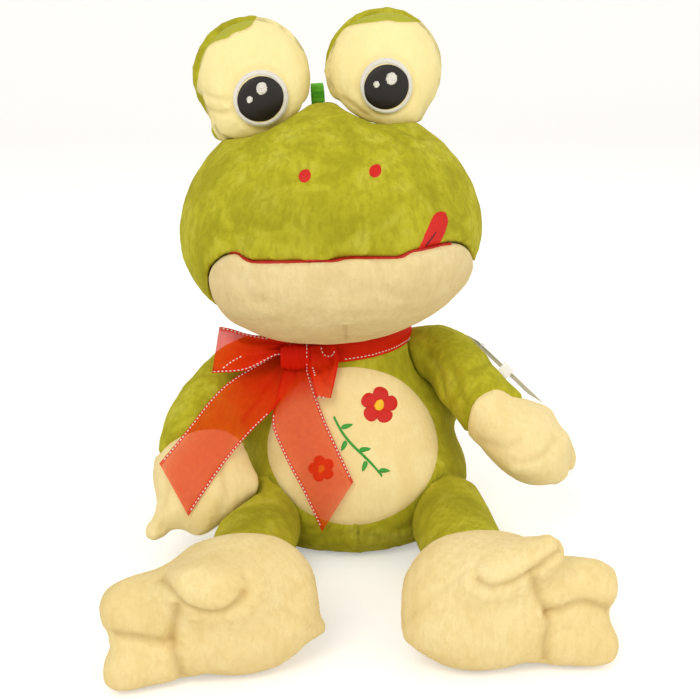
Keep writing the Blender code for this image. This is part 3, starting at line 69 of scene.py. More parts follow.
class Side(Enum):
    """The frog's own left and right; left lies towards +X."""

    LEFT = "l"
    RIGHT = "r"


def paint(code: str) -> Colour:
    """Turn a written colour into the linear values that a shader takes.

    Args:
        code: six hexadecimal digits.

    Returns:
        Red, green, blue and one.
    """
    parts = [int(code[place:place + 2], 16) / 255 for place in (0, 2, 4)]
    linear = [part / 12.92 if part <= 0.04045 else ((part + 0.055) / 1.055) ** 2.4 for part in parts]
    return (linear[0], linear[1], linear[2], 1.0)


# ---------------------------------------------------------------------------
# Shader building
# ---------------------------------------------------------------------------


class Wiring:
    """Adds shader nodes to one tree and joins them."""

    def __init__(self, tree: bpy.types.NodeTree) -> None:
        """Keep the tree that the nodes go into."""
        self.tree = tree

    def feed(self, node: bpy.types.Node, **sockets) -> bpy.types.Node:
        """Set a node's inputs.

        Args:
            node: the node.
            **sockets: values, or the output sockets that feed them. An input goes by its name, with _ for
                a space, or by its number after an i.

        Returns:
            The node.
        """
        for key, value in sockets.items():
            socket = node.inputs[int(key[1:])] if key[1:].isdigit() else node.inputs[key.replace("_", " ")]
            if isinstance(value, bpy.types.NodeSocket):
                self.tree.links.new(value, socket)
            else:
                socket.default_value = value
        return node

    def add(self, kind: str, options: dict | None = None, **sockets) -> bpy.types.Node:
        """Add one node.

        Args:
            kind: the node's type name.
            options: plain properties of the node.
            **sockets: its inputs, as feed takes them.

        Returns:
            The new node.
        """
        node = self.tree.nodes.new(kind)
        for key, value in (options or {}).items():
            setattr(node, key, value)
        return self.feed(node, **sockets)

    def math(self, operation: str, first, second=0.0, third=0.0, clamp: bool = False) -> bpy.types.NodeSocket:
        """Add a Math node and return its value."""
        return self.add("ShaderNodeMath", {"operation": operation, "use_clamp": clamp},
                        i0=first, i1=second, i2=third).outputs[0]

    def ramp(self, value, low: float, high: float) -> bpy.types.NodeSocket:
        """Stretch a value smoothly so that low gives nought and high gives one."""
        return self.add("ShaderNodeMapRange", {"interpolation_type": "SMOOTHSTEP"},
                        Value=value, From_Min=low, From_Max=high).outputs[0]

    def blend(self, share, first, second) -> bpy.types.NodeSocket:
        """Mix two colours."""
        return self.add("ShaderNodeMix", {"data_type": "RGBA"}, i0=share, i6=first, i7=second).outputs[2]

    def mix(self, share, first, second) -> bpy.types.NodeSocket:
        """Mix two numbers."""
        return self.add("ShaderNodeMix", {"data_type": "FLOAT"}, i0=share, i2=first, i3=second).outputs[0]

    def place(self) -> bpy.types.NodeSocket:
        """Return the place on the object, in metres."""
        return self.add("ShaderNodeTexCoord").outputs["Object"]

    def noise(self, place, scale, detail: float, **settings) -> bpy.types.NodeSocket:
        """Add a Noise texture and return its value."""
        return self.add("ShaderNodeTexNoise", Vector=place, Scale=scale, Detail=detail,
                        **settings).outputs["Fac"]

    def attribute(self, name: str) -> bpy.types.NodeSocket:
        """Return a number that the mesh stores."""
        return self.add("ShaderNodeAttribute", {"attribute_name": name}).outputs["Fac"]

    def bump(self, height, strength: float, distance: float) -> bpy.types.NodeSocket:
        """Turn a height into a normal."""
        return self.add("ShaderNodeBump", Strength=strength, Distance=distance, Height=height).outputs[0]

    def seen(self) -> bpy.types.NodeSocket:
        """Return one for the camera's rays, also by way of gloss or clear cloth, and nought for light."""
        path = self.add("ShaderNodeLightPath").outputs
        seen = self.math("MAXIMUM", path["Is Camera Ray"], path["Is Glossy Ray"])
        return self.math("MAXIMUM", seen, path["Is Transmission Ray"])


def new_group(name: str, inputs: dict[str, object], outputs: dict[str, str]) -> Wiring:
    """Start a shader node group with named sockets.

    Args:
        name: the group's name.
        inputs: each input's name with its default, a number or a colour.
        outputs: each output's name with its socket type.

    Returns:
        The wiring of the group.
    """
    group = bpy.data.node_groups.new(name, "ShaderNodeTree")
    for label, default in inputs.items():
        kind = "NodeSocketColor" if isinstance(default, tuple) else "NodeSocketFloat"
        socket = group.interface.new_socket(name=label, in_out="INPUT", socket_type=kind)
        socket.default_value = default
    for label, kind in outputs.items():
        group.interface.new_socket(name=label, in_out="OUTPUT", socket_type=kind)
    return Wiring(group)


@cache
def pile_group() -> bpy.types.NodeTree:
    """Make the short brushed pile: patches that lie different ways and fine streaks, with dark seams and
    painted shade in creases, folds and hollows.
    """
    wire = new_group(
        "brushed pile",
        {"Base": WHITE, "Parted": WHITE, "Brushed": WHITE, "Seam": WHITE, "Cap": WHITE, "Patch Size": 30.0,
         "Contrast": 0.5},
        {"Colour": "NodeSocketColor", "Height": "NodeSocketFloat", "Roughness": "NodeSocketFloat"})
    entry = wire.add("NodeGroupInput").outputs
    place = wire.place()
    patches = wire.noise(place, entry["Patch Size"], 3.0, Roughness=0.55, Distortion=0.9)
    combed = wire.add("ShaderNodeMapping", {"vector_type": "POINT"}, Vector=place,
                      Scale=(1.0, 1.0, 0.38)).outputs["Vector"]
    strokes = wire.noise(combed, 210.0, 2.0, Roughness=0.5, Distortion=0.6)
    fibres = wire.noise(combed, 1300.0, 1.0, Roughness=0.6)
    dark = wire.ramp(wire.math("SUBTRACT", 1.0, patches), 0.42, 0.66)
    dark = wire.math("MULTIPLY", dark, entry["Contrast"])
    colour = wire.blend(dark, entry["Base"], entry["Parted"])
    light = wire.math("MULTIPLY", wire.ramp(patches, 0.50, 0.72), entry["Contrast"])
    colour = wire.blend(light, colour, entry["Brushed"])
    streak = wire.math("MULTIPLY", wire.ramp(strokes, 0.40, 0.66),
                       wire.math("MULTIPLY", entry["Contrast"], 0.8))
    colour = wire.blend(streak, colour, entry["Parted"])
    fine = wire.math("MULTIPLY", wire.ramp(fibres, 0.35, 0.7), 0.16)
    colour = wire.blend(fine, colour, entry["Parted"])
    capped = wire.blend(wire.math("MULTIPLY", dark, 0.8), entry["Cap"], entry["Seam"])
    colour = wire.blend(wire.ramp(wire.attribute("cap"), 0.46, 0.54), colour, capped)
    # Painted shade: the seam attribute darkens real seams and also creases, folds and hollows towards the
    # seam tone.
    colour = wire.blend(wire.attribute("seam"), colour, entry["Seam"])
    height = wire.math("ADD", wire.math("MULTIPLY", fibres, 0.5), wire.math("MULTIPLY", strokes, 0.9))
    rough = wire.add("ShaderNodeMapRange", Value=patches, To_Min=0.82, To_Max=0.98).outputs[0]
    wire.add("NodeGroupOutput", Colour=colour, Height=height, Roughness=rough)
    return wire.tree


@cache
def thread_group() -> bpy.types.NodeTree:
    """Make rayon embroidery thread: slight changes of tone from thread to thread, a fine twist, and painted
    shade on the sunk rows between threads.
    """
    wire = new_group("embroidery thread", {"Base": WHITE, "Shade": WHITE, "Amount": 0.5},
                     {"Colour": "NodeSocketColor", "Height": "NodeSocketFloat"})
    entry = wire.add("NodeGroupInput").outputs
    tone = wire.noise(wire.place(), 900.0, 2.0, Roughness=0.6)
    share = wire.math("MULTIPLY", wire.ramp(tone, 0.4, 0.7), entry["Amount"])
    # Painted shade: the sunk half threads are darkened towards the shade tone.
    share = wire.math("MAXIMUM", share, wire.math("MULTIPLY", wire.attribute("groove_shade"), 0.45))
    colour = wire.blend(share, entry["Base"], entry["Shade"])
    wire.add("NodeGroupOutput", Colour=colour, Height=tone)
    return wire.tree


@cache
def weave_group() -> bpy.types.NodeTree:
    """Make a plain weave from the piece's own UV map, in threads per metre."""
    wire = new_group("plain weave", {"Threads": 1400.0},
                     {"Thread": "NodeSocketFloat", "Slub": "NodeSocketFloat"})
    entry = wire.add("NodeGroupInput").outputs
    place = wire.add("ShaderNodeUVMap", {"uv_map": "cloth"}).outputs["UV"]
    parts = wire.add("ShaderNodeSeparateXYZ", Vector=place).outputs
    turn = wire.math("MULTIPLY", entry["Threads"], 2 * math.pi)
    along = wire.math("SINE", wire.math("MULTIPLY", parts["X"], turn))
    across = wire.math("SINE", wire.math("MULTIPLY", parts["Y"], turn))
    thread = wire.math("MULTIPLY_ADD", wire.math("MULTIPLY", along, across), 0.5, 0.5)
    wire.add("NodeGroupOutput", Thread=thread, Slub=wire.noise(place, 260.0, 3.0, Roughness=0.65))
    return wire.tree


@dataclass(frozen=True)
class Finish:
    """What a piece is made of, as the eye sees it."""

    name: str

    def material(self) -> bpy.types.Material:
        """Make the material, or return it where it is made already."""
        if self.name in bpy.data.materials:
            return bpy.data.materials[self.name]
        material = bpy.data.materials.new(self.name)
        material.use_nodes = True
        self.fit(Wiring(material.node_tree), material.node_tree.nodes["Principled BSDF"])
        return material

    def fit(self, wire: Wiring, shader: bpy.types.Node) -> None:
        """Wire up the shader, which each kind of finish does in its own way."""
        raise NotImplementedError


@dataclass(frozen=True)
class PlushFinish(Finish):
    """Short brushed velour pile."""

    slot: str
    base: str
    parted: str
    brushed: str
    # seam: the dark tone of the seams, also used as painted shade in creases, folds and hollows.
    seam: str
    cap: str = "AFAF34"
    patch_size: float = 30.0
    contrast: float = 0.5
    bump: float = 0.55
    sheen: float = 0.25

    def fit(self, wire: Wiring, shader: bpy.types.Node) -> None:
        """Join the pile to the shader."""
        pile = wire.add("ShaderNodeGroup", {"node_tree": pile_group()}, Base=paint(self.base),
                        Parted=paint(self.parted), Brushed=paint(self.brushed), Seam=paint(self.seam),
                        Cap=paint(self.cap), Patch_Size=self.patch_size, Contrast=self.contrast).outputs
        wire.feed(shader, Base_Color=pile["Colour"], Roughness=pile["Roughness"],
                  Normal=wire.bump(pile["Height"], self.bump, 0.0011), Sheen_Weight=self.sheen,
                  Sheen_Roughness=0.45, Sheen_Tint=paint(self.brushed), Specular_IOR_Level=0.12)


@dataclass(frozen=True)
class ThreadFinish(Finish):
    """Shiny embroidery thread."""

    slot: str
    base: str
    shade: str
    amount: float = 0.45

    def fit(self, wire: Wiring, shader: bpy.types.Node) -> None:
        """Join the thread to the shader."""
        thread = wire.add("ShaderNodeGroup", {"node_tree": thread_group()}, Base=paint(self.base),
                          Shade=paint(self.shade), Amount=self.amount).outputs
        wire.feed(shader, Base_Color=thread["Colour"], Normal=wire.bump(thread["Height"], 0.35, 0.0003),
                  Roughness=0.52, Specular_IOR_Level=0.35)


@dataclass(frozen=True)
class WovenFinish(Finish):
    """Ribbon, tape or satin that is woven from threads, sheer where its cover is low."""

    slot: str
    base: str
    shade: str
    threads: float
    cover: float = 1.0
    edge_cover: float = 1.0
    full_cover: float = 1.0
    roughness: float = 0.5
    bump: float = 0.3
    unevenness: float = 0.35

    def fit(self, wire: Wiring, shader: bpy.types.Node) -> None:
        """Join the weave to the shader, and open the cloth where it is sheer."""
        weave = wire.add("ShaderNodeGroup", {"node_tree": weave_group()}, Threads=self.threads).outputs
        tone = wire.math("MULTIPLY", wire.ramp(weave["Slub"], 0.35, 0.68), self.unevenness)
        colour = wire.blend(tone, paint(self.base), paint(self.shade))
        if self.cover < 1:
            edge, gather = wire.attribute("hem"), wire.attribute("gather")
            plain = wire.math("MULTIPLY_ADD", wire.math("SUBTRACT", weave["Thread"], 0.5), 0.10, self.cover)
            slub = wire.math("MULTIPLY", wire.math("SUBTRACT", weave["Slub"], 0.5), 0.06)
            hemmed = wire.mix(edge, wire.math("ADD", plain, slub), self.edge_cover)
            alpha = wire.mix(gather, hemmed, self.full_cover)
            wire.feed(shader, Alpha=wire.math("MULTIPLY", alpha, 1.0, clamp=True))
            dense = wire.math("MULTIPLY", wire.math("MAXIMUM", gather, edge), 0.9)
            colour = wire.blend(dense, colour, paint(self.shade))
        wire.feed(shader, Base_Color=colour, Normal=wire.bump(weave["Thread"], self.bump, 0.0003),
                  Roughness=self.roughness, Specular_IOR_Level=0.08)


@dataclass(frozen=True)
class SmoothFinish(Finish):
    """Card or clear plastic with faint fibres or flow marks."""

    base: str
    shade: str
    grain: float
    roughness: float
    alpha: float = 1.0

    def fit(self, wire: Wiring, shader: bpy.types.Node) -> None:
        """Join the fibres or flow marks to the shader."""
        grain = wire.noise(wire.place(), self.grain, 4.0)
        colour = wire.blend(wire.ramp(grain, 0.35, 0.7), paint(self.base), paint(self.shade))
        wire.feed(shader, Base_Color=colour, Normal=wire.bump(grain, 0.12, 0.0002),
                  Roughness=self.roughness, Alpha=self.alpha)


@dataclass(frozen=True)
class StageFinish(Finish):
    """Matt pale paper under and behind the toy, almost white to the camera, with the toy's shadow kept."""

    base: str
    glow: float

    def fit(self, wire: Wiring, shader: bpy.types.Node) -> None:
        """Join the paper's faint grain and its glow to the shader."""
        grain = wire.math("MULTIPLY", wire.noise(wire.place(), 6.0, 2.0), 0.06)
        wire.feed(shader, Base_Color=wire.blend(grain, paint(self.base), (0.8, 0.8, 0.8, 1.0)),
                  Roughness=0.95, Specular_IOR_Level=0.0, Emission_Color=WHITE,
                  Emission_Strength=wire.math("MULTIPLY", wire.seen(), self.glow))


GREEN_PLUSH = PlushFinish("green plush", "green_plush", base="BDB62C", parted="968F16", brushed="CFC950",
                          seam="5E5808", patch_size=30.0, contrast=0.55)
EYE_BACK_PLUSH = replace(GREEN_PLUSH, name="eye back plush", cap="F8E8A8")
CREAM_PLUSH = PlushFinish("cream plush", "cream_plush", base="F7E2A6", parted="E8CB84", brushed="FDEEBC",
                          seam="BE9A58", patch_size=22.0, contrast=0.26)
# Darker copies of the cream plush: painted shade on the feet and on the muzzle under the head.
SHADED_FOOT_PLUSH = PlushFinish("shaded foot plush", "cream_plush", base="F0D99C", parted="DCBF78", brushed="F9E9B8",
                         seam="A88848", patch_size=20.0, contrast=0.34)
SHADED_MUZZLE_PLUSH = PlushFinish("shaded muzzle plush", "cream_plush", base="E6D19A", parted="D2B980", brushed="F0E0B0",
                           seam="A88E58", patch_size=30.0, contrast=0.32)
EYE_PLUSH = PlushFinish("eye plush", "cream_plush", base="F8E8A8", parted="EDD68C", brushed="FFF3C2",
                        seam="BC9C58", patch_size=20.0, contrast=0.20, bump=0.35)
RED_THREAD = ThreadFinish("red thread", "red_thread", "DE1A06", "A00C02")
MOUTH_THREAD = ThreadFinish("mouth thread", "red_thread", "C22410", "80180A")
DARK_RED_THREAD = ThreadFinish("dark red thread", "dark_red_thread", "7A0A0C", "4C0508")
YELLOW_THREAD = ThreadFinish("yellow thread", "yellow_thread", "FFC824", "E09A10")
GREEN_THREAD = ThreadFinish("green thread", "green_thread", "3FA83A", "1F7A22")
BLACK_THREAD = ThreadFinish("black thread", "black_thread", "201712", "0E0807", amount=0.7)
WHITE_THREAD = ThreadFinish("white thread", "white_thread", "EFEBE0", "C8C0B0", amount=0.6)
STITCH_THREAD = ThreadFinish("white stitching", "white_thread", "F7F0E8", "DCC8BC", amount=0.4)
ORGANZA = WovenFinish("red sheer ribbon", "red_ribbon", "F43E02", "D21402", threads=1500.0, cover=0.62,
                      edge_cover=0.86, full_cover=0.97, roughness=0.58, bump=0.3)
LOOP_TAPE = WovenFinish("green woven tape", "green_tape", "7CD844", "44A428", threads=700.0, roughness=0.7,
                        bump=0.9, unevenness=0.8)
SATIN = WovenFinish("white satin", "white_satin", "F8F6F2", "E8E4DE", threads=2200.0, roughness=0.35)
CARD = SmoothFinish("tag card", "F8F7F3", "F0EEE8", grain=240.0, roughness=0.6)
CLEAR_PLASTIC = SmoothFinish("clear plastic", "F4F6F6", "E4E8EA", grain=90.0, roughness=0.25, alpha=0.55)
PAPER = StageFinish("pale paper", "F1EFEA", glow=0.36)


# ---------------------------------------------------------------------------
# Meshes
# ---------------------------------------------------------------------------


SAME_PLACE = 0.00001


def new_object(name: str, points: Sequence, faces: Sequence) -> bpy.types.Object:
    """Make a mesh object at the origin from points and faces."""
    mesh = bpy.data.meshes.new(name)
    mesh.from_pydata([tuple(point) for point in points], [], [tuple(face) for face in faces])
    mesh.update()
    item = bpy.data.objects.new(name, mesh)
    bpy.context.scene.collection.objects.link(item)
    return item


def choose(item: bpy.types.Object) -> None:
    """Select one object alone and make it the active one."""
    bpy.ops.object.select_all(action="DESELECT")
    item.select_set(True)
    bpy.context.view_layer.objects.active = item


def dress(item: bpy.types.Object, finish: PlushFinish | ThreadFinish | WovenFinish) -> None:
    """Give a piece its material and soft shading."""
    item.data.materials.clear()
    item.data.materials.append(finish.material())
    item.data.shade_smooth()


def apply_modifier(item: bpy.types.Object, kind: str, **settings) -> None:
    """Add a modifier with its settings and apply it."""
    step = item.modifiers.new(kind.lower(), kind)
    for key, value in settings.items():
        setattr(step, key, value)
    choose(item)
    bpy.ops.object.modifier_apply(modifier=step.name)


def coordinates(mesh: bpy.types.Mesh) -> np.ndarray:
    """Return the mesh's points as rows of x, y and z."""
    flat = np.empty(len(mesh.vertices) * 3)
    mesh.vertices.foreach_get("co", flat)
    return flat.reshape(-1, 3)


def point_normals(mesh: bpy.types.Mesh) -> np.ndarray:
    """Return each point's normal."""
    flat = np.empty(len(mesh.vertices) * 3)
    mesh.vertex_normals.foreach_get("vector", flat)
    return flat.reshape(-1, 3)


def move_points(mesh: bpy.types.Mesh, places: np.ndarray) -> None:
    """Put the mesh's points in new places."""
    mesh.vertices.foreach_set("co", places.ravel())
    mesh.update()


def push_out(mesh: bpy.types.Mesh, rise: np.ndarray) -> None:
    """Move each point along its normal."""
    move_points(mesh, coordinates(mesh) + point_normals(mesh) * rise[:, None])


def lay_flat(mesh: bpy.types.Mesh, flat: np.ndarray) -> None:
    """Give a mesh the UV map that its weave reads: each point's place on the flat cloth, in metres."""
    layer = mesh.uv_layers.new(name="cloth")
    corners = np.empty(len(mesh.loops), dtype=np.int64)
    mesh.loops.foreach_get("vertex_index", corners)
    layer.data.foreach_set("uv", flat[corners].ravel())


def copy_solids(name: str, nodes: Sequence[str], shells: Sequence = ()) -> bpy.types.Object:
    """Copy the meshes of some solids into one new object.

    Args:
        name: the object's name.
        nodes: the solids' nodes.
        shells: more closed shells, each as points and faces.

    Returns:
        The object, its meeting points merged.
    """
    mesh = bmesh.new()
    for node in nodes:
        mesh.from_mesh(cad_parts[node].data)
    for points, faces in shells:
        verts = [mesh.verts.new(tuple(point)) for point in points]
        for face in faces:
            mesh.faces.new([verts[index] for index in face])
    bmesh.ops.remove_doubles(mesh, verts=mesh.verts, dist=SAME_PLACE)
    data = bpy.data.meshes.new(name)
    mesh.to_mesh(data)
    mesh.free()
    item = bpy.data.objects.new(name, data)
    bpy.context.scene.collection.objects.link(item)
    return item


def edge_pairs(mesh: bpy.types.Mesh) -> np.ndarray:
    """Return the two ends of every edge."""
    flat = np.empty(len(mesh.edges) * 2, dtype=np.int64)
    mesh.edges.foreach_get("vertices", flat)
    return flat.reshape(-1, 2)


def neighbour_mean(values: np.ndarray, pairs: np.ndarray) -> np.ndarray:
    """Average each point's value over the points it shares an edge with."""
    total = np.zeros_like(values)
    count = np.zeros(len(values))
    for first, second in ((0, 1), (1, 0)):
        np.add.at(total, pairs[:, first], values[pairs[:, second]])
        np.add.at(count, pairs[:, first], 1)
    count = np.maximum(count, 1)
    return total / (count[:, None] if values.ndim > 1 else count)


def point_attribute(mesh: bpy.types.Mesh, name: str, values: np.ndarray) -> None:
    """Store one number on each point under a name that the material reads."""
    layer = mesh.attributes.get(name) or mesh.attributes.new(name, "FLOAT", "POINT")
    layer.data.foreach_set("value", np.asarray(values, dtype=np.float32))


def tree_of(items: Sequence[bpy.types.Object]) -> BVHTree:
    """Build one search tree over several meshes."""
    points: list = []
    faces: list = []
    for item in items:
        start = len(points)
        points.extend(coordinates(item.data).tolist())
        faces.extend([[start + index for index in face.vertices] for face in item.data.polygons])
    return BVHTree.FromPolygons(points, faces)


@dataclass(frozen=True)
class Viewpoint:
    """The camera's place, and the rays through the picture's pixels."""

    place: tuple[float, float, float] = (-0.005, -1.0462, 0.4969)
    target: tuple[float, float, float] = (-0.005, 0.0, 0.157)
    lens: float = 65.8
    sensor: float = 36.0
    picture: float = 700.0

    def axes(self) -> tuple[Vector, Vector, Vector]:
        """Return the directions of forward, right and up."""
        forward = (Vector(self.target) - Vector(self.place)).normalized()
        right = forward.cross(Vector((0, 0, 1))).normalized()
        return forward, right, right.cross(forward)

    def ray(self, pixel: Pixel) -> Vector:
        """Return the direction that a pixel of the picture looks in."""
        forward, right, up = self.axes()
        scale = self.sensor / self.picture
        across = (pixel[0] - self.picture / 2) * scale
        rise = (self.picture / 2 - pixel[1]) * scale
        return (forward * self.lens + right * across + up * rise).normalized()

    def reach(self, tree: BVHTree, pixel: Pixel) -> tuple[Vector | None, Vector | None]:
        """Return the first point that a pixel sees on a surface, and the normal there."""
        hit = tree.ray_cast(Vector(self.place), self.ray(pixel))
        if hit[0] is None:
            return None, None
        normal = hit[1] if hit[1].dot(self.ray(pixel)) < 0 else -hit[1]
        return hit[0], normal

    def pixels(self, places: np.ndarray) -> np.ndarray:
        """Return the pixels that places in space fall on."""
        forward, right, up = (np.array(axis) for axis in self.axes())
        away = places - np.array(self.place)
        scale = self.lens / self.sensor * self.picture / (away @ forward)
        half = self.picture / 2
        return np.stack([half + away @ right * scale, half - away @ up * scale], axis=1)

    def camera(self) -> bpy.types.Object:
        """Make the scene's camera."""
        data = bpy.data.cameras.new("camera")
        data.lens = self.lens
        data.sensor_width = self.sensor
        item = bpy.data.objects.new("camera", data)
        item.location = self.place
        item.rotation_mode = "QUATERNION"
        item.rotation_quaternion = self.axes()[0].to_track_quat("-Z", "Y")
        bpy.context.scene.collection.objects.link(item)
        bpy.context.scene.camera = item
        return item


VIEW = Viewpoint()


def along_line(points: Sequence[Pixel], count: int, smooth: bool = True) -> np.ndarray:
    """Spread points evenly along a line of pixels.

    Args:
        points: the line's corners.
        count: how many points to return.
        smooth: round the corners off.

    Returns:
        The points as rows.
    """
    line = np.asarray(points, float)
    if smooth and len(line) > 2:
        for _ in range(2):
            inner = np.empty((2 * len(line) - 2, line.shape[1]))
            inner[0::2] = line[:-1] * 0.75 + line[1:] * 0.25
            inner[1::2] = line[:-1] * 0.25 + line[1:] * 0.75
            line = np.vstack([line[:1], inner[1:-1], line[-1:]])
    steps = np.linalg.norm(np.diff(line, axis=0), axis=1)
    reach = np.concatenate([[0], np.cumsum(steps)])
    wanted = np.linspace(0, reach[-1], count)
    return np.stack([np.interp(wanted, reach, line[:, axis]) for axis in range(line.shape[1])], axis=1)


def beyond(outline: Sequence[Pixel], spots: np.ndarray) -> np.ndarray:
    """Measure how far pixels lie outside a closed outline, below nought for those inside.

    Args:
        outline: the outline's corners, in pixels.
        spots: the pixels, as rows.

    Returns:
        The distances, in pixels.
    """
    corners = np.asarray(outline, float)
    within = np.zeros(len(spots), bool)
    nearest = np.full(len(spots), 1e9)
    for start, end in zip(corners, np.roll(corners, -1, axis=0)):
        crosses = (start[1] > spots[:, 1]) != (end[1] > spots[:, 1])
        rise = end[1] - start[1] if abs(end[1] - start[1]) > 1e-9 else 1e-9
        within ^= crosses & (spots[:, 0] < (end[0] - start[0]) * (spots[:, 1] - start[1]) / rise + start[0])
        run = end - start
        share = np.clip(((spots - start) @ run) / max(run @ run, 1e-9), 0, 1)[:, None]
        nearest = np.minimum(nearest, np.linalg.norm(spots - start - run * share, axis=1))
    return np.where(within, -nearest, nearest)


@dataclass(frozen=True)
class Crease:
    """A pressed-in line on a stuffed piece: a seam, a fold or a wrinkle, darkened with painted shade; one
    with no depth is only a band of painted shade.
    """

    cloud: np.ndarray
    width: float = 0.0022
    depth: float = 0.0012
    # tone: how far the pile is darkened along the line: a seam's dark tone, and painted shade in folds,
    # wrinkles and hollows.
    tone: float = 0.5
    pucker: float = 0.0003

    @staticmethod
    def seen(tree: BVHTree, pixels: Sequence[Pixel], **settings) -> "Crease":
        """Lay a crease where a line of pixels meets a surface."""
        spots = []
        for pixel in along_line(pixels, max(int(8 * len(pixels)), 24)):
            hit, _ = VIEW.reach(tree, (pixel[0], pixel[1]))
            if hit is not None:
                spots.append(tuple(hit))
        return Crease(np.array(spots).reshape(-1, 3), **settings)

    @staticmethod
    def cut(item: bpy.types.Object, point: Vector, normal: Vector,
            keep: Callable[[np.ndarray], np.ndarray] | None = None, **settings) -> "Crease":
        """Lay a crease where a plane cuts the piece, on the points that keep accepts."""
        places = coordinates(item.data)
        pairs = edge_pairs(item.data)
        level = (places - np.array(point)) @ np.array(normal)
        low, high = level[pairs[:, 0]], level[pairs[:, 1]]
        crossing = low * high < 0
        share = (low[crossing] / (low[crossing] - high[crossing]))[:, None]
        spots = places[pairs[crossing, 0]] * (1 - share) + places[pairs[crossing, 1]] * share
        if keep is not None:
            spots = spots[keep(spots)]
        return Crease(spots, **settings)

    def distances(self, places: np.ndarray) -> np.ndarray:
        """Return how far each place is from the crease."""
        if not len(self.cloud):
            return np.full(len(places), 1.0)
        tree = KDTree(len(self.cloud))
        for index, spot in enumerate(self.cloud):
            tree.insert(spot, index)
        tree.balance()
        return np.array([tree.find(place)[2] for place in places])


def soft_folds(tree: BVHTree, folds: Sequence, tone: float) -> list[Crease]:
    """Lay soft folds, each given by its pixels, its width and its depth, darkened by tone as painted shade.
    """
    return [Crease.seen(tree, pixels, width=width, depth=depth, tone=tone, pucker=FOLD_PUCKER)
            for pixels, width, depth in folds]


OUTLINE_POINTS = 160
# A piece sinks under its neighbour from a little proud to deep under it, over a few pixels.
TUCK_FADE = 4
TUCK_TRAVEL = 0.0034
TUCK_PROUD = 0.0004
# Creases darker than this tone hold the skin in, within this reach, while it is blown up.
HOLDING_TONE = 0.3
HOLDING_REACH = 0.004
SETTLE_FRAMES = 20
FINE_RIPPLE_SIZE = 0.006
PUCKER_SIZE = 0.0045
FOLD_PUCKER = 0.0002


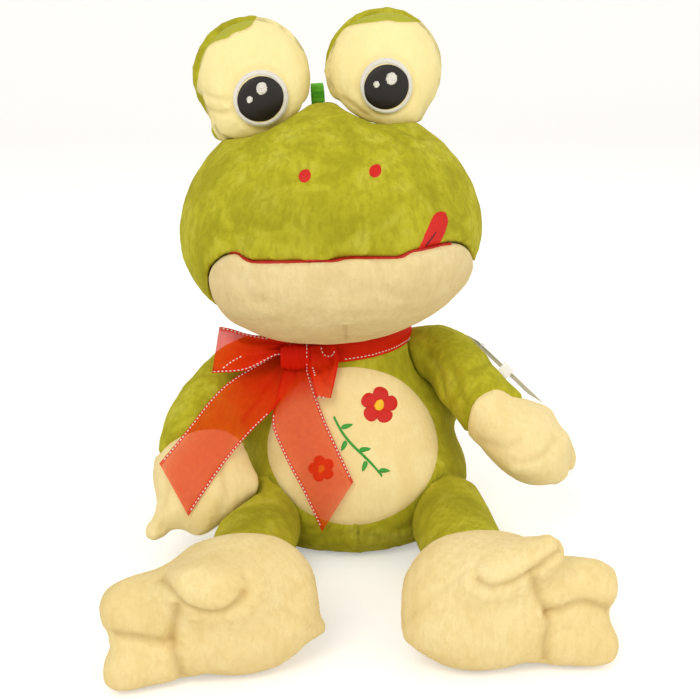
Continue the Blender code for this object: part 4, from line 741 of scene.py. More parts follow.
@dataclass
class StuffedPiece:
    """One stuffed piece of plush, made from the CAD solids that it stands for."""

    name: str
    nodes: tuple[str, ...]
    finish: PlushFinish
    voxel: float = 0.004
    shrink: float = 0.0006
    swell: float = 0.0030
    pressure: float = 4.0
    fill: float = 0.85
    relax: int = 4
    ripple: float = 0.0006
    ripple_size: float = 0.028
    fine_ripple: float = 0.00018
    seed: float = 0.0
    plan: Callable[["StuffedPiece", BVHTree], list[Crease]] | None = None
    held_spots: list[tuple[Vector, float]] = field(default_factory=list)
    cores: list[tuple[np.ndarray, list]] = field(default_factory=list)
    nudges: tuple = ()
    tuck: Sequence[Pixel] = ()
    tuck_inside: bool = True
    also: tuple[str, ...] = ()
    item: bpy.types.Object | None = None

    def form(self) -> None:
        """Copy the solids' meshes into one closed skin of even faces."""
        self.item = copy_solids(self.name, (*self.nodes, *self.also), self.cores)
        apply_modifier(self.item, "REMESH", mode="VOXEL", voxel_size=self.voxel)
        apply_modifier(self.item, "SMOOTH", factor=0.5, iterations=self.relax)
        self.nudge()

    def nudge(self) -> None:
        """Push parts of the skin across the camera's view, each with a soft reach, all in pixels."""
        if not self.nudges:
            return
        data = self.item.data
        places = coordinates(data)
        spots = VIEW.pixels(places)
        _, right, up = (np.array(axis) for axis in VIEW.axes())
        away = np.linalg.norm(places - np.array(VIEW.place), axis=1)
        scale = VIEW.sensor / VIEW.picture / VIEW.lens
        shift = np.zeros((len(places), 2))
        for centre, reach, step in self.nudges:
            near = np.exp(-(np.linalg.norm(spots - np.array(centre), axis=1) / reach) ** 2)
            shift += near[:, None] * np.array(step)
        shift *= (away * scale)[:, None]
        move_points(data, places + shift[:, :1] * right - shift[:, 1:] * up)

    def tuck_under(self) -> None:
        """Sink the skin on one side of an outline, so that the next piece covers it there."""
        if not len(self.tuck):
            return
        outline = along_line([*self.tuck, self.tuck[0]], OUTLINE_POINTS)
        away = beyond(outline, VIEW.pixels(coordinates(self.item.data)))
        away = -away if self.tuck_inside else away
        sink = np.clip(0.5 + away / TUCK_FADE, 0, 1) * TUCK_TRAVEL - TUCK_PROUD
        push_out(self.item.data, -sink)

    def hollows(self, rounds: int) -> np.ndarray:
        """Return how deep each point lies in a hollow, in metres, evened out some rounds."""
        places = coordinates(self.item.data)
        pairs = edge_pairs(self.item.data)
        pull = neighbour_mean(places, pairs) - places
        bend = np.einsum("ij,ij->i", pull, point_normals(self.item.data))
        for _ in range(rounds):
            bend = neighbour_mean(bend, pairs)
        return bend

    def inflate(self, held: np.ndarray) -> None:
        """Blow the skin up a little by cloth simulation, held at its seams and hollows."""
        data = self.item.data
        before = coordinates(data)
        move_points(data, before - point_normals(data) * self.shrink * (1 - held)[:, None])
        start = coordinates(data)
        group = self.item.vertex_groups.new(name="held")
        for index in np.nonzero(held > 0.02)[0]:
            group.add([int(index)], float(held[index]), "REPLACE")
        cloth = self.item.modifiers.new("cloth", "CLOTH")
        settings = cloth.settings
        settings.use_pressure = True
        settings.uniform_pressure_force = self.pressure
        settings.effector_weights.gravity = 0
        settings.vertex_group_mass = group.name
        settings.quality = 4
        settings.tension_stiffness = 10
        settings.compression_stiffness = 10
        settings.bending_stiffness = 0.2
        cloth.collision_settings.use_collision = False
        scene = bpy.context.scene
        for step in range(1, SETTLE_FRAMES + 1):
            scene.frame_set(step)
        choose(self.item)
        bpy.ops.object.modifier_apply(modifier=cloth.name)
        scene.frame_set(1)
        self.item.vertex_groups.clear()
        shift = coordinates(data) - start
        length = np.linalg.norm(shift, axis=1)
        scale = np.minimum(1, self.swell / np.maximum(length, 1e-9))
        places = start + shift * scale[:, None]
        move_points(data, places * 0.6 + neighbour_mean(places, edge_pairs(data)) * 0.4)

    def ripple_skin(self) -> None:
        """Add the soft lumps of loose filling and small slack wrinkles."""
        places = coordinates(self.item.data)
        offset = Vector((self.seed, self.seed * 1.7, self.seed * 0.3))
        rise = np.empty(len(places))
        for index, place in enumerate(places):
            spot = Vector(place)
            broad = noise.noise(spot / self.ripple_size + offset)
            small = noise.noise(Vector((spot.x, spot.y, spot.z * 1.6)) / FINE_RIPPLE_SIZE + offset)
            rise[index] = broad * self.ripple + small * self.fine_ripple
        push_out(self.item.data, rise)

    def press(self, creases: list[Crease]) -> None:
        """Press the creases in and store how dark each point is from its seams and from painted shade in
        creases and hollows.
        """
        data = self.item.data
        places = coordinates(data)
        dark = np.zeros(len(places))
        rise = np.zeros(len(places))
        for crease in creases:
            away = crease.distances(places)
            reach = np.exp(-(away / crease.width) ** 2)
            shoulder = np.exp(-((away - 2.4 * crease.width) / (1.3 * crease.width)) ** 2)
            rise -= crease.depth * reach
            for index in np.nonzero(shoulder > 0.05)[0]:
                wave = noise.noise(Vector(places[index]) / PUCKER_SIZE + Vector((self.seed, 3.1, 0)))
                rise[index] += crease.pucker * shoulder[index] * (1 + 1.6 * wave)
            dark = np.maximum(dark, crease.tone * np.exp(-(away / (0.75 * crease.width)) ** 2))
        push_out(data, rise)
        # Painted shade in the hollows between plump parts, such as between the toes and fingers.
        hollow_shade = np.clip((self.hollows(2) / (self.voxel * 0.5) - 0.05) * 4.0, 0, 0.55)
        point_attribute(data, "seam", np.clip(np.maximum(dark, hollow_shade), 0, 1))

    def build(self) -> bpy.types.Object:
        """Build the whole piece.

        Returns:
            The finished object, dressed and standing for its solids.
        """
        self.form()
        held = np.clip(self.hollows(1) / (self.voxel * 0.06), 0, 1)
        tree = tree_of([self.item])
        creases = self.plan(self, tree) if self.plan else []
        places = coordinates(self.item.data)
        for crease in creases:
            if crease.tone > HOLDING_TONE:
                held = np.maximum(held, np.exp(-(crease.distances(places) / HOLDING_REACH) ** 2))
        for spot, radius in self.held_spots:
            away = np.linalg.norm(places - np.array(spot), axis=1)
            held = np.maximum(held, np.clip(1.6 - away / radius, 0, 1))
        self.inflate(held)
        apply_modifier(self.item, "SUBSURF", levels=1, render_levels=1)
        self.ripple_skin()
        self.tuck_under()
        self.press(creases)
        dress(self.item, self.finish)
        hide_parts(*self.nodes)
        LOG.info("%s: %d faces", self.name, len(self.item.data.polygons))
        return self.item


HALF_THREAD = 0.36
GROOVE_DEPTH = 0.00022
ROOT_DEPTH = 0.0004


def satin(name: str, tree: BVHTree, rows: Sequence[tuple[Pixel, Pixel]], lift: float, finish: ThreadFinish,
          nodes: tuple[str, ...], body: str, steps: int = 7, base: float = 0.0002,
          closed: bool = False) -> bpy.types.Object:
    """Embroider a patch in satin stitch.

    Args:
        name: the piece's name.
        tree: the surface that is embroidered.
        rows: the two ends of each half thread, in pixels, one beside the next.
        lift: how far the padded middle stands off the cloth.
        finish: the thread.
        nodes: the CAD nodes it stands for.
        body: the body it moves with.
        steps: points along each thread.
        base: how far the ends stand off the cloth.
        closed: the last row joins the first.

    Returns:
        The patch.
    """
    points, faces, groove_shade, lines = [], [], [], []
    for order, (start, end) in enumerate(rows):
        line = []
        for step in range(steps):
            share = step / (steps - 1)
            pixel = (start[0] + (end[0] - start[0]) * share, start[1] + (end[1] - start[1]) * share)
            hit, normal = VIEW.reach(tree, pixel)
            crown = (1 - abs(2 * share - 1) ** 5) * lift
            rise = base + crown - (GROOVE_DEPTH if order % 2 else 0.0)
            if step in (0, steps - 1):
                rise = -ROOT_DEPTH
            line.append((hit, normal, rise, order % 2))
        lines.append(line)
    known = [spot for line in lines for spot in line if spot[0] is not None]
    if not known:
        raise ValueError(f"{name} lies on nothing")
    for line in lines:
        for hit, normal, rise, low in line:
            if hit is None:
                hit, normal = known[0][:2]
            points.append(hit + normal * rise)
            groove_shade.append(float(low))
    count = len(lines)
    for order in range(count if closed else count - 1):
        other = (order + 1) % count
        for step in range(steps - 1):
            faces.append((order * steps + step, other * steps + step,
                          other * steps + step + 1, order * steps + step + 1))
    item = new_object(name, points, faces)
    # The sunk odd rows are darkened by the material as painted shade.
    point_attribute(item.data, "groove_shade", np.array(groove_shade))
    face_out(item)
    dress(item, finish)
    if nodes:
        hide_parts(*nodes)
    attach(item, body)
    LOG.info("%s: %d threads", name, count // 2)
    return item


def face_out(item: bpy.types.Object) -> None:
    """Turn an open patch's faces towards the viewer's side."""
    total = Vector((0, 0, 0))
    for face in item.data.polygons:
        total += face.normal * face.area
    middle = Vector(coordinates(item.data).mean(axis=0))
    if total.dot(Vector(VIEW.place) - middle) < 0:
        item.data.flip_normals()


def oval(centre: Pixel, across: float, up: float, count: int) -> list[Pixel]:
    """Return pixels at even steps round an oval."""
    return [(centre[0] + across * math.cos(turn), centre[1] + up * math.sin(turn))
            for turn in np.linspace(0, 2 * math.pi, count + 1)[:-1]]


def turned(origin: Pixel, angle: float, along: float, across: float) -> Pixel:
    """Return the pixel that lies so far along and across a direction from another pixel."""
    return (origin[0] + math.cos(angle) * along - math.sin(angle) * across,
            origin[1] + math.sin(angle) * along + math.cos(angle) * across)


def disc_rows(centre: Pixel, across: float, up: float, angle: float, pitch: float = HALF_THREAD) -> list:
    """Lay half threads across a round or oval patch.

    Args:
        centre: the patch's middle, in pixels.
        across: its radius across, in pixels.
        up: its radius up, in pixels.
        angle: the threads' direction, in degrees.
        pitch: half a thread's width, in pixels.

    Returns:
        The ends of every half thread.
    """
    return outline_rows(oval(centre, across, up, 72), angle, pitch)


def outline_rows(outline: Sequence[Pixel], angle: float, pitch: float = HALF_THREAD) -> list:
    """Lay half threads across a patch with a bulging outline, given in pixels."""
    turn = math.radians(angle)
    way = np.array((math.cos(turn), math.sin(turn)))
    side = np.array((-way[1], way[0]))
    corners = np.asarray(outline, float)
    level = corners @ side
    run = corners @ way
    rows = []
    count = max(int((level.max() - level.min()) / pitch), 4)
    for height in np.linspace(level.min() + pitch / 4, level.max() - pitch / 4, count):
        crossings = []
        for index in range(len(corners)):
            other = (index + 1) % len(corners)
            low, high = level[index], level[other]
            if (low - height) * (high - height) < 0:
                share = (height - low) / (high - low)
                crossings.append(run[index] * (1 - share) + run[other] * share)
        if len(crossings) >= 2:
            ends = [way * value + side * height for value in (min(crossings), max(crossings))]
            rows.append((tuple(ends[0]), tuple(ends[1])))
    return rows


def line_rows(points: Sequence[Pixel], widths: Sequence[float], pitch: float = HALF_THREAD,
              slant: float = 0.0, smooth: bool = True) -> list:
    """Lay half threads across a line, as a column of satin stitch.

    Args:
        points: the line's corners, in pixels.
        widths: the line's width at even steps along it, in pixels.
        pitch: half a thread's width, in pixels.
        slant: how far the threads lean along the line, in pixels.
        smooth: round the line's corners off.

    Returns:
        The ends of every half thread.
    """
    line = np.asarray(points, float)
    length = np.linalg.norm(np.diff(line, axis=0), axis=1).sum()
    count = max(int(length / pitch), 6)
    spots = along_line(points, count, smooth)
    ways = np.gradient(spots, axis=0)
    ways /= np.maximum(np.linalg.norm(ways, axis=1), 1e-9)[:, None]
    sizes = np.interp(np.linspace(0, 1, count), np.linspace(0, 1, len(widths)), widths)
    rows = []
    for index, (spot, way, size) in enumerate(zip(spots, ways, sizes)):
        side = np.array((-way[1], way[0]))
        jag = 1 + 0.16 * noise.noise(Vector((index * 0.31, 0.5, size)))
        half = side * size / 2 * jag + way * slant
        rows.append((tuple(spot - half), tuple(spot + half)))
    return rows


# ---------------------------------------------------------------------------
# Sheets
# ---------------------------------------------------------------------------


class Cloth:
    """A sheet laid out as a grid of points, with its own UV map in metres."""

    def __init__(self, name: str, grid: np.ndarray) -> None:
        """Keep the grid: rows along the ribbon, points across it."""
        self.name = name
        self.grid = grid
        self.gather = np.zeros(grid.shape[:2])

    def normals(self) -> np.ndarray:
        """Return the grid's normals, turned towards the viewer on average."""
        along = np.gradient(self.grid, axis=0)
        across = np.gradient(self.grid, axis=1)
        normal = np.cross(along, across)
        normal /= np.maximum(np.linalg.norm(normal, axis=2), 1e-12)[..., None]
        middle = self.grid.mean(axis=(0, 1))
        toward = np.array(VIEW.place) - middle
        if (normal.mean(axis=(0, 1)) @ toward) < 0:
            normal = -normal
        return normal

    def smooth(self, rounds: int) -> None:
        """Relax the grid along and across, its edges kept."""
        for _ in range(rounds):
            inner = (self.grid[:-2, 1:-1] + self.grid[2:, 1:-1]
                     + self.grid[1:-1, :-2] + self.grid[1:-1, 2:]) / 4
            self.grid[1:-1, 1:-1] = self.grid[1:-1, 1:-1] * 0.4 + inner * 0.6
            for side in (0, -1):
                line = self.grid[:, side]
                line[1:-1] = line[1:-1] * 0.5 + (line[:-2] + line[2:]) * 0.25

    def lift(self, amount: np.ndarray) -> None:
        """Move each point along its normal."""
        self.grid = self.grid + self.normals() * amount[..., None]

    def build(self, hem: float) -> bpy.types.Object:
        """Make the mesh with its UV map, hem and gather attributes.

        Args:
            hem: the width of the denser edge, in metres.

        Returns:
            The sheet.
        """
        rows, columns = self.grid.shape[:2]
        faces = [(row * columns + column, (row + 1) * columns + column,
                  (row + 1) * columns + column + 1, row * columns + column + 1)
                 for row in range(rows - 1) for column in range(columns - 1)]
        item = new_object(self.name, self.grid.reshape(-1, 3), faces)
        run = np.linalg.norm(np.diff(self.grid, axis=0), axis=2).mean(axis=1)
        wide = np.linalg.norm(np.diff(self.grid, axis=1), axis=2).mean(axis=0)
        lengths = np.concatenate([[0], np.cumsum(run)])
        widths = np.concatenate([[0], np.cumsum(wide)])
        flat = np.stack(np.meshgrid(lengths, widths, indexing="ij"), axis=2).reshape(-1, 2)
        lay_flat(item.data, flat)
        edge = np.minimum(flat[:, 1], widths[-1] - flat[:, 1])
        point_attribute(item.data, "hem", np.clip((hem * 1.25 - edge) / (hem * 0.5), 0, 1))
        point_attribute(item.data, "gather", self.gather.ravel())
        face_out(item)
        self.flat = (float(widths[-1]), float(lengths[-1]))
        return item


@dataclass
class Stitching:
    """White dashes along a sheet's edges."""

    pitch: float = 0.0033
    length: float = 0.0021
    width: float = 0.0011
    height: float = 0.0009
    inset: float = 0.0012

    def along(self, name: str, lines: Sequence[np.ndarray], ups: Sequence[np.ndarray]) -> bpy.types.Object:
        """Set dashes along lines that lie on a sheet.

        Args:
            name: the piece's name.
            lines: each line's points, close together.
            ups: the sheet's normal at each of those points.

        Returns:
            One mesh with all the dashes.
        """
        points, faces = [], []
        for line, up in zip(lines, ups):
            steps = np.linalg.norm(np.diff(line, axis=0), axis=1)
            reach = np.concatenate([[0], np.cumsum(steps)])
            count = int((reach[-1] - self.length) / self.pitch)
            for order in range(count):
                at = self.length + order * self.pitch
                ends = [np.array([np.interp(at + shift, reach, line[:, axis]) for axis in range(3)])
                        for shift in (-self.length / 2, self.length / 2)]
                lean = np.array([np.interp(at, reach, up[:, axis]) for axis in range(3)])
                self.dash(points, faces, ends, lean / np.linalg.norm(lean))
        item = new_object(name, points, faces)
        dress(item, STITCH_THREAD)
        return item

    def dash(self, points: list, faces: list, ends: Sequence[np.ndarray], up: np.ndarray) -> None:
        """Add one dash: two four-sided rings closed by pointed ends."""
        way = ends[1] - ends[0]
        length = np.linalg.norm(way)
        if length < self.length * 0.3:
            return
        way = way / length
        side = np.cross(way, up)
        side /= max(np.linalg.norm(side), 1e-9)
        start = len(points)
        for share in (0.22, 0.78):
            middle = ends[0] + way * length * share
            for across, rise in ((1, 0), (0, 1), (-1, 0), (0, -1)):
                points.append(middle + side * across * self.width / 2 + up * rise * self.height / 2)
        points.extend([ends[0], ends[1]])
        for turn in range(4):
            after = (turn + 1) % 4
            faces.append((start + turn, start + after, start + 4 + after, start + 4 + turn))
            faces.append((start + after, start + turn, start + 8))
            faces.append((start + 4 + turn, start + 4 + after, start + 9))


def finish_ribbon(cloth: Cloth, item: bpy.types.Object, stitches: bpy.types.Object, node: str,
                  body: str, follows: tuple = ()) -> None:
    """Dress a length of ribbon, put it on its body unless it follows a second body, and log its size.

    Args:
        cloth: the flat cloth.
        item: the ribbon made from it.
        stitches: its dashes.
        node: the solid that it stands for.
        body: the body that it moves with.
        follows: a second body and two places; where it is given, the ribbon and its dashes keep no parent and
            take their place baked in, and the body and places themselves are not used.
    """
    dress(item, ORGANZA)
    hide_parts(node)
    for piece in (item, stitches):
        if follows:
            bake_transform(piece)
        else:
            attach(piece, body)
    LOG.info("%s: %.0f by %.0f mm", item.name, cloth.flat[0] * 1000, cloth.flat[1] * 1000)


@dataclass
class RibbonPart:
    """One visible length of the sheer ribbon, laid over its CAD solid as the camera sees it."""

    name: str
    node: str
    edge_a: Sequence[Pixel]
    edge_b: Sequence[Pixel]
    rows: int = 60
    columns: int = 18
    held: str = "draped"
    rests_on: tuple[str, ...] = ()
    gather_reach: float = 0.25
    gather_full: float = 1.0
    pleats: float = 3.0
    pleat_height: float = 0.0012
    seed: float = 0.0
    stitch_a: bool = True
    stitch_b: bool = True
    relax: int = 6
    back_layer: float = 0.0
    from_a: float = 0.0
    from_b: float = 0.0
    extra: tuple = ()
    follows: tuple = ()

    def surface(self) -> np.ndarray:
        """Cast the part's grid of pixels onto its solid.

        Returns:
            The grid of points, filled smoothly where a pixel misses the solid.
        """
        tree = tree_of([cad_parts[self.node]])
        first = along_line(self.edge_a, self.rows)
        second = along_line(self.edge_b, self.rows)
        away = np.full((self.rows, self.columns), np.nan)
        ways = np.empty((self.rows, self.columns, 3))
        eye = Vector(VIEW.place)
        for row in range(self.rows):
            for column in range(self.columns):
                share = column / (self.columns - 1)
                pixel = first[row] * (1 - share) + second[row] * share
                way = VIEW.ray((pixel[0], pixel[1]))
                ways[row, column] = way
                hit = tree.ray_cast(eye, way)
                if hit[0] is not None:
                    away[row, column] = (hit[0] - eye).length
        return np.array(VIEW.place) + ways * filled(away)[..., None]

    def build(self, body: str) -> None:
        """Build the ribbon and its stitching, which move with a body."""
        cloth = Cloth(self.name, self.surface())
        cloth.smooth(self.relax)
        run = np.linspace(0, 1, self.rows)[:, None]
        share = np.linspace(0, 1, self.columns)[None, :]
        fade = np.clip(1 - run / self.gather_reach, 0, 1) ** 1.3
        wave = np.sin(2 * math.pi * self.pleats * share + self.seed + 2.0 * run)
        slack = 0.0006 * np.sin(5.2 * run * math.pi + 3 * share + self.seed) * np.sin(math.pi * share)
        cloth.lift(fade * wave * self.pleat_height + slack)
        cloth.gather = np.broadcast_to(fade ** 0.6 * self.gather_full, cloth.grid.shape[:2]).copy()
        if self.back_layer:
            cloth = self.doubled(cloth)
        item = cloth.build(hem=0.0022)
        ups = cloth.normals()
        dashes = Stitching()
        lines, leans = [], []
        for wanted, edge, inner, skip in ((self.stitch_a, 0, 1, self.from_a),
                                          (self.stitch_b, -1, -2, self.from_b)):
            if not wanted:
                continue
            first = int(skip * self.rows)
            step = cloth.grid[first:, inner] - cloth.grid[first:, edge]
            step /= np.maximum(np.linalg.norm(step, axis=1), 1e-9)[:, None]
            lines.append(cloth.grid[first:, edge] + step * dashes.inset)
            leans.append(ups[first:, edge])
        tree = tree_of([item])
        for pixels in self.extra:
            hits = [VIEW.reach(tree, (spot[0], spot[1])) for spot in along_line(pixels, 40)]
            known = [hit for hit in hits if hit[0] is not None]
            if len(known) > 3:
                lines.append(np.array([tuple(hit[0]) for hit in known]))
                leans.append(np.array([tuple(hit[1]) for hit in known]))
        stitches = dashes.along(f"{self.name}_stitches", lines, leans)
        finish_ribbon(cloth, item, stitches, self.node, body, self.follows)

    def doubled(self, cloth: Cloth) -> Cloth:
        """Turn a loop's front layer round its far end into a layer behind."""
        front = cloth.grid
        behind = front[::-1].copy()
        eye = np.array(VIEW.place)
        way = behind - eye
        way /= np.linalg.norm(way, axis=2)[..., None]
        run = np.linspace(0, 1, len(behind))[:, None, None]
        opened = np.clip(np.sin(np.minimum(run * 4, 1) * math.pi / 2), 0, 1)
        depth = self.back_layer * opened * (1 - 0.5 * run)
        behind = behind + way * depth
        bend = front[-1:] * 0.5 + behind[:1] * 0.5
        joined = Cloth(self.name, np.concatenate([front, bend, behind[1:]], axis=0))
        joined.gather = np.concatenate([cloth.gather, cloth.gather[-1:], cloth.gather[::-1][1:]], axis=0)
        return joined


def filled(values: np.ndarray) -> np.ndarray:
    """Fill the gaps of a grid from its known neighbours, then even it out.

    Args:
        values: the grid, with NaN where nothing is known.

    Returns:
        The full grid.
    """
    known = ~np.isnan(values)
    if not known.any():
        raise ValueError("no pixel of this ribbon meets its solid")
    result = np.where(known, values, np.nanmean(values))
    settled = known.copy()
    while not settled.all():
        total, count = (sum(np.roll(padded, step, axis)[1:-1, 1:-1] for axis in (0, 1) for step in (-1, 1))
                        for padded in (np.pad(np.where(settled, result, 0), 1),
                                       np.pad(settled.astype(float), 1)))
        fresh = ~settled & (count > 0)
        result = np.where(fresh, total / np.maximum(count, 1), result)
        settled |= fresh
    for _ in range(3):
        padded_values = np.pad(result, 1, mode="edge")
        mean = (padded_values[:-2, 1:-1] + padded_values[2:, 1:-1]
                + padded_values[1:-1, :-2] + padded_values[1:-1, 2:]) / 4
        result = result * 0.5 + mean * 0.5
    return result


# ---------------------------------------------------------------------------
# Sub-assemblies
# ---------------------------------------------------------------------------


@dataclass
class Body:
    """The stuffed torso with its sewn-on belly panel and embroidery."""

    panel_centre: Pixel = (352.5, 446.0)
    panel_across: float = 85.0
    panel_up: float = 79.0
    panel_rise: float = 0.0016
    pixel_size: float = 0.0017
    nudges: tuple = (((445, 404), 17.0, (22.0, -2.0)), ((430, 382), 10.0, (12.0, 3.0)),
                     ((258, 420), 24.0, (-26.0, -2.0)), ((264, 394), 11.0, (-14.0, 0.0)))
    rings: int = 26
    spokes: int = 96
    skin: bpy.types.Object | None = None
    panel: bpy.types.Object | None = None

    def creases(self, piece: StuffedPiece, tree: BVHTree) -> list[Crease]:
        """Plan the seams down the front and back and at the sides, the soft folds and a band of painted shade
        low on the torso.
        """
        settings = {"width": 0.0016, "depth": 0.0011, "tone": 0.75, "pucker": 0.0003}
        lines = [Crease.seen(tree, [(359, 497), (359, 520), (357, 556)], **settings)]
        lines.append(Crease.cut(piece.item, Vector((0, 0.05, 0)), Vector((1, 0, 0.06)),
                                lambda spots: spots[:, 1] > 0.03, **settings))
        for sign in (-1, 1):
            lines.append(Crease.cut(piece.item, Vector((sign * 0.09, 0.022, 0.09)), Vector((0, 1, 0.1)),
                                    lambda spots, sign=sign: spots[:, 0] * sign > 0.03, **settings))
        folds = (([(300, 545), (330, 535), (375, 537), (402, 548)], 0.0045, 0.0014),
                 ([(268, 520), (300, 530), (322, 528)], 0.0040, 0.0011),
                 ([(440, 500), (425, 520), (400, 530)], 0.0045, 0.0013),
                 ([(452, 470), (470, 480), (488, 500)], 0.0045, 0.0013),
                 ([(437, 372), (450, 400), (455, 425)], 0.0050, 0.0013),
                 # No depth: a wide band of painted shade low on the torso, below the panel.
                 ([(285, 540), (350, 546), (420, 536)], 0.0200, 0.0))
        return lines + soft_folds(tree, folds, 0.22)

    def build(self) -> None:
        """Build the torso, the panel and the embroidery."""
        torso = StuffedPiece("torso_plush", ("torso",), GREEN_PLUSH, swell=0.0022,
                             plan=self.creases, seed=1.3, nudges=self.nudges)
        self.skin = torso.build()
        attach(self.skin, "torso")
        self.build_panel()
        tree = tree_of([self.panel])
        self.build_flower("large", (379.0, 405.4), 19.0, 8.0, tree)
        self.build_flower("small", (321.6, 468.7), 13.6, -14.0, tree)
        self.build_sprig(tree)

    def build_panel(self) -> None:
        """Sew the cream panel on: a thin padded oval that is pulled in at its edge."""
        tree = tree_of([self.skin])
        grid = np.empty((self.rings, self.spokes + 1, 3))
        for ring in range(self.rings):
            share = (ring + 0.02) / (self.rings - 1 + 0.02)
            for spoke in range(self.spokes + 1):
                turn = 2 * math.pi * (spoke % self.spokes) / self.spokes
                wobble = 1 + 0.010 * noise.noise(Vector((math.cos(turn) * 2.2, math.sin(turn) * 2.2, 0.4)))
                pixel = (self.panel_centre[0] + self.panel_across * share * wobble * math.cos(turn),
                         self.panel_centre[1] + self.panel_up * share * wobble * math.sin(turn))
                hit, normal = VIEW.reach(tree, pixel)
                pinch = 1 + 0.25 * math.sin(turn * 42) * max(0.0, share - 0.86) * 5
                rise = self.panel_rise * min(1.0, (1 - share) * 9) ** 0.5 * pinch
                rise = rise if ring < self.rings - 1 else -0.0004
                grid[ring, spoke] = hit + normal * (rise + 0.0004)
        cloth = Cloth("belly_plush", grid)
        self.panel = cloth.build(hem=0.0)
        choose(self.panel)
        bpy.ops.object.mode_set(mode="EDIT")
        bpy.ops.mesh.select_all(action="SELECT")
        bpy.ops.mesh.remove_doubles(threshold=0.00002)
        bpy.ops.object.mode_set(mode="OBJECT")
        point_attribute(self.panel.data, "seam", np.zeros(len(self.panel.data.vertices)))
        self.panel.data.attributes.remove(self.panel.data.attributes["hem"])
        dress(self.panel, CREAM_PLUSH)
        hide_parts("belly_panel")
        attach(self.panel, "torso")

    def build_flower(self, size: str, centre: Pixel, radius: float, turn: float, tree: BVHTree) -> None:
        """Embroider one five-petalled flower with a yellow middle."""
        for petal in range(5):
            angle = math.radians(turn + petal * 72 - 90)
            middle = turned(centre, angle, radius * 0.56, 0.0)
            outline = []
            for step in range(40):
                swing = 2 * math.pi * step / 40
                long_way = radius * 0.47 * math.cos(swing)
                wide = radius * 0.40 * math.sin(swing) * (1 + 0.16 * math.cos(swing))
                outline.append(turned(middle, angle, long_way, wide))
            nodes = (f"flower_petals_{size}",) if petal == 0 else ()
            satin(f"flower_{size}_petal_{petal + 1}", tree, outline_rows(outline, math.degrees(angle) + 12),
                  0.0010, RED_THREAD, nodes, "torso")
        heart = radius * 0.30
        satin(f"flower_{size}_heart", tree, disc_rows(centre, heart, heart, 20), 0.0009, YELLOW_THREAD,
              (f"flower_centre_{size}",), "torso", base=0.0009)

    def build_sprig(self, tree: BVHTree) -> None:
        """Embroider a plain green sprig: a curved stem with five small leaves."""
        stem = [(334, 417), (341, 431), (351, 444), (363, 455), (374, 466), (382, 476)]
        satin("sprig_stem", tree, line_rows(stem, [2.6, 3.2, 3.2, 2.4], slant=0.8), 0.0008, GREEN_THREAD,
              ("sprig",), "torso", steps=5)
        leaves = (((340, 428), -15, 12.0), ((347, 440), 118, 11.0), ((358, 450), -5, 11.5),
                  ((367, 460), 112, 11.0), ((378, 470), 5, 10.5))
        for order, (root, heading, length) in enumerate(leaves):
            angle = math.radians(heading)
            outline = []
            for step in range(32):
                swing = 2 * math.pi * step / 32
                run = length * (0.5 - 0.5 * math.cos(swing)) + 1.2
                wide = 3.6 * math.sin(swing) * (0.75 + 0.25 * math.cos(swing))
                outline.append(turned(root, angle, run, wide))
            satin(f"sprig_leaf_{order + 1}", tree, outline_rows(outline, heading + 62), 0.0008, GREEN_THREAD,
                  (), "torso", steps=6)


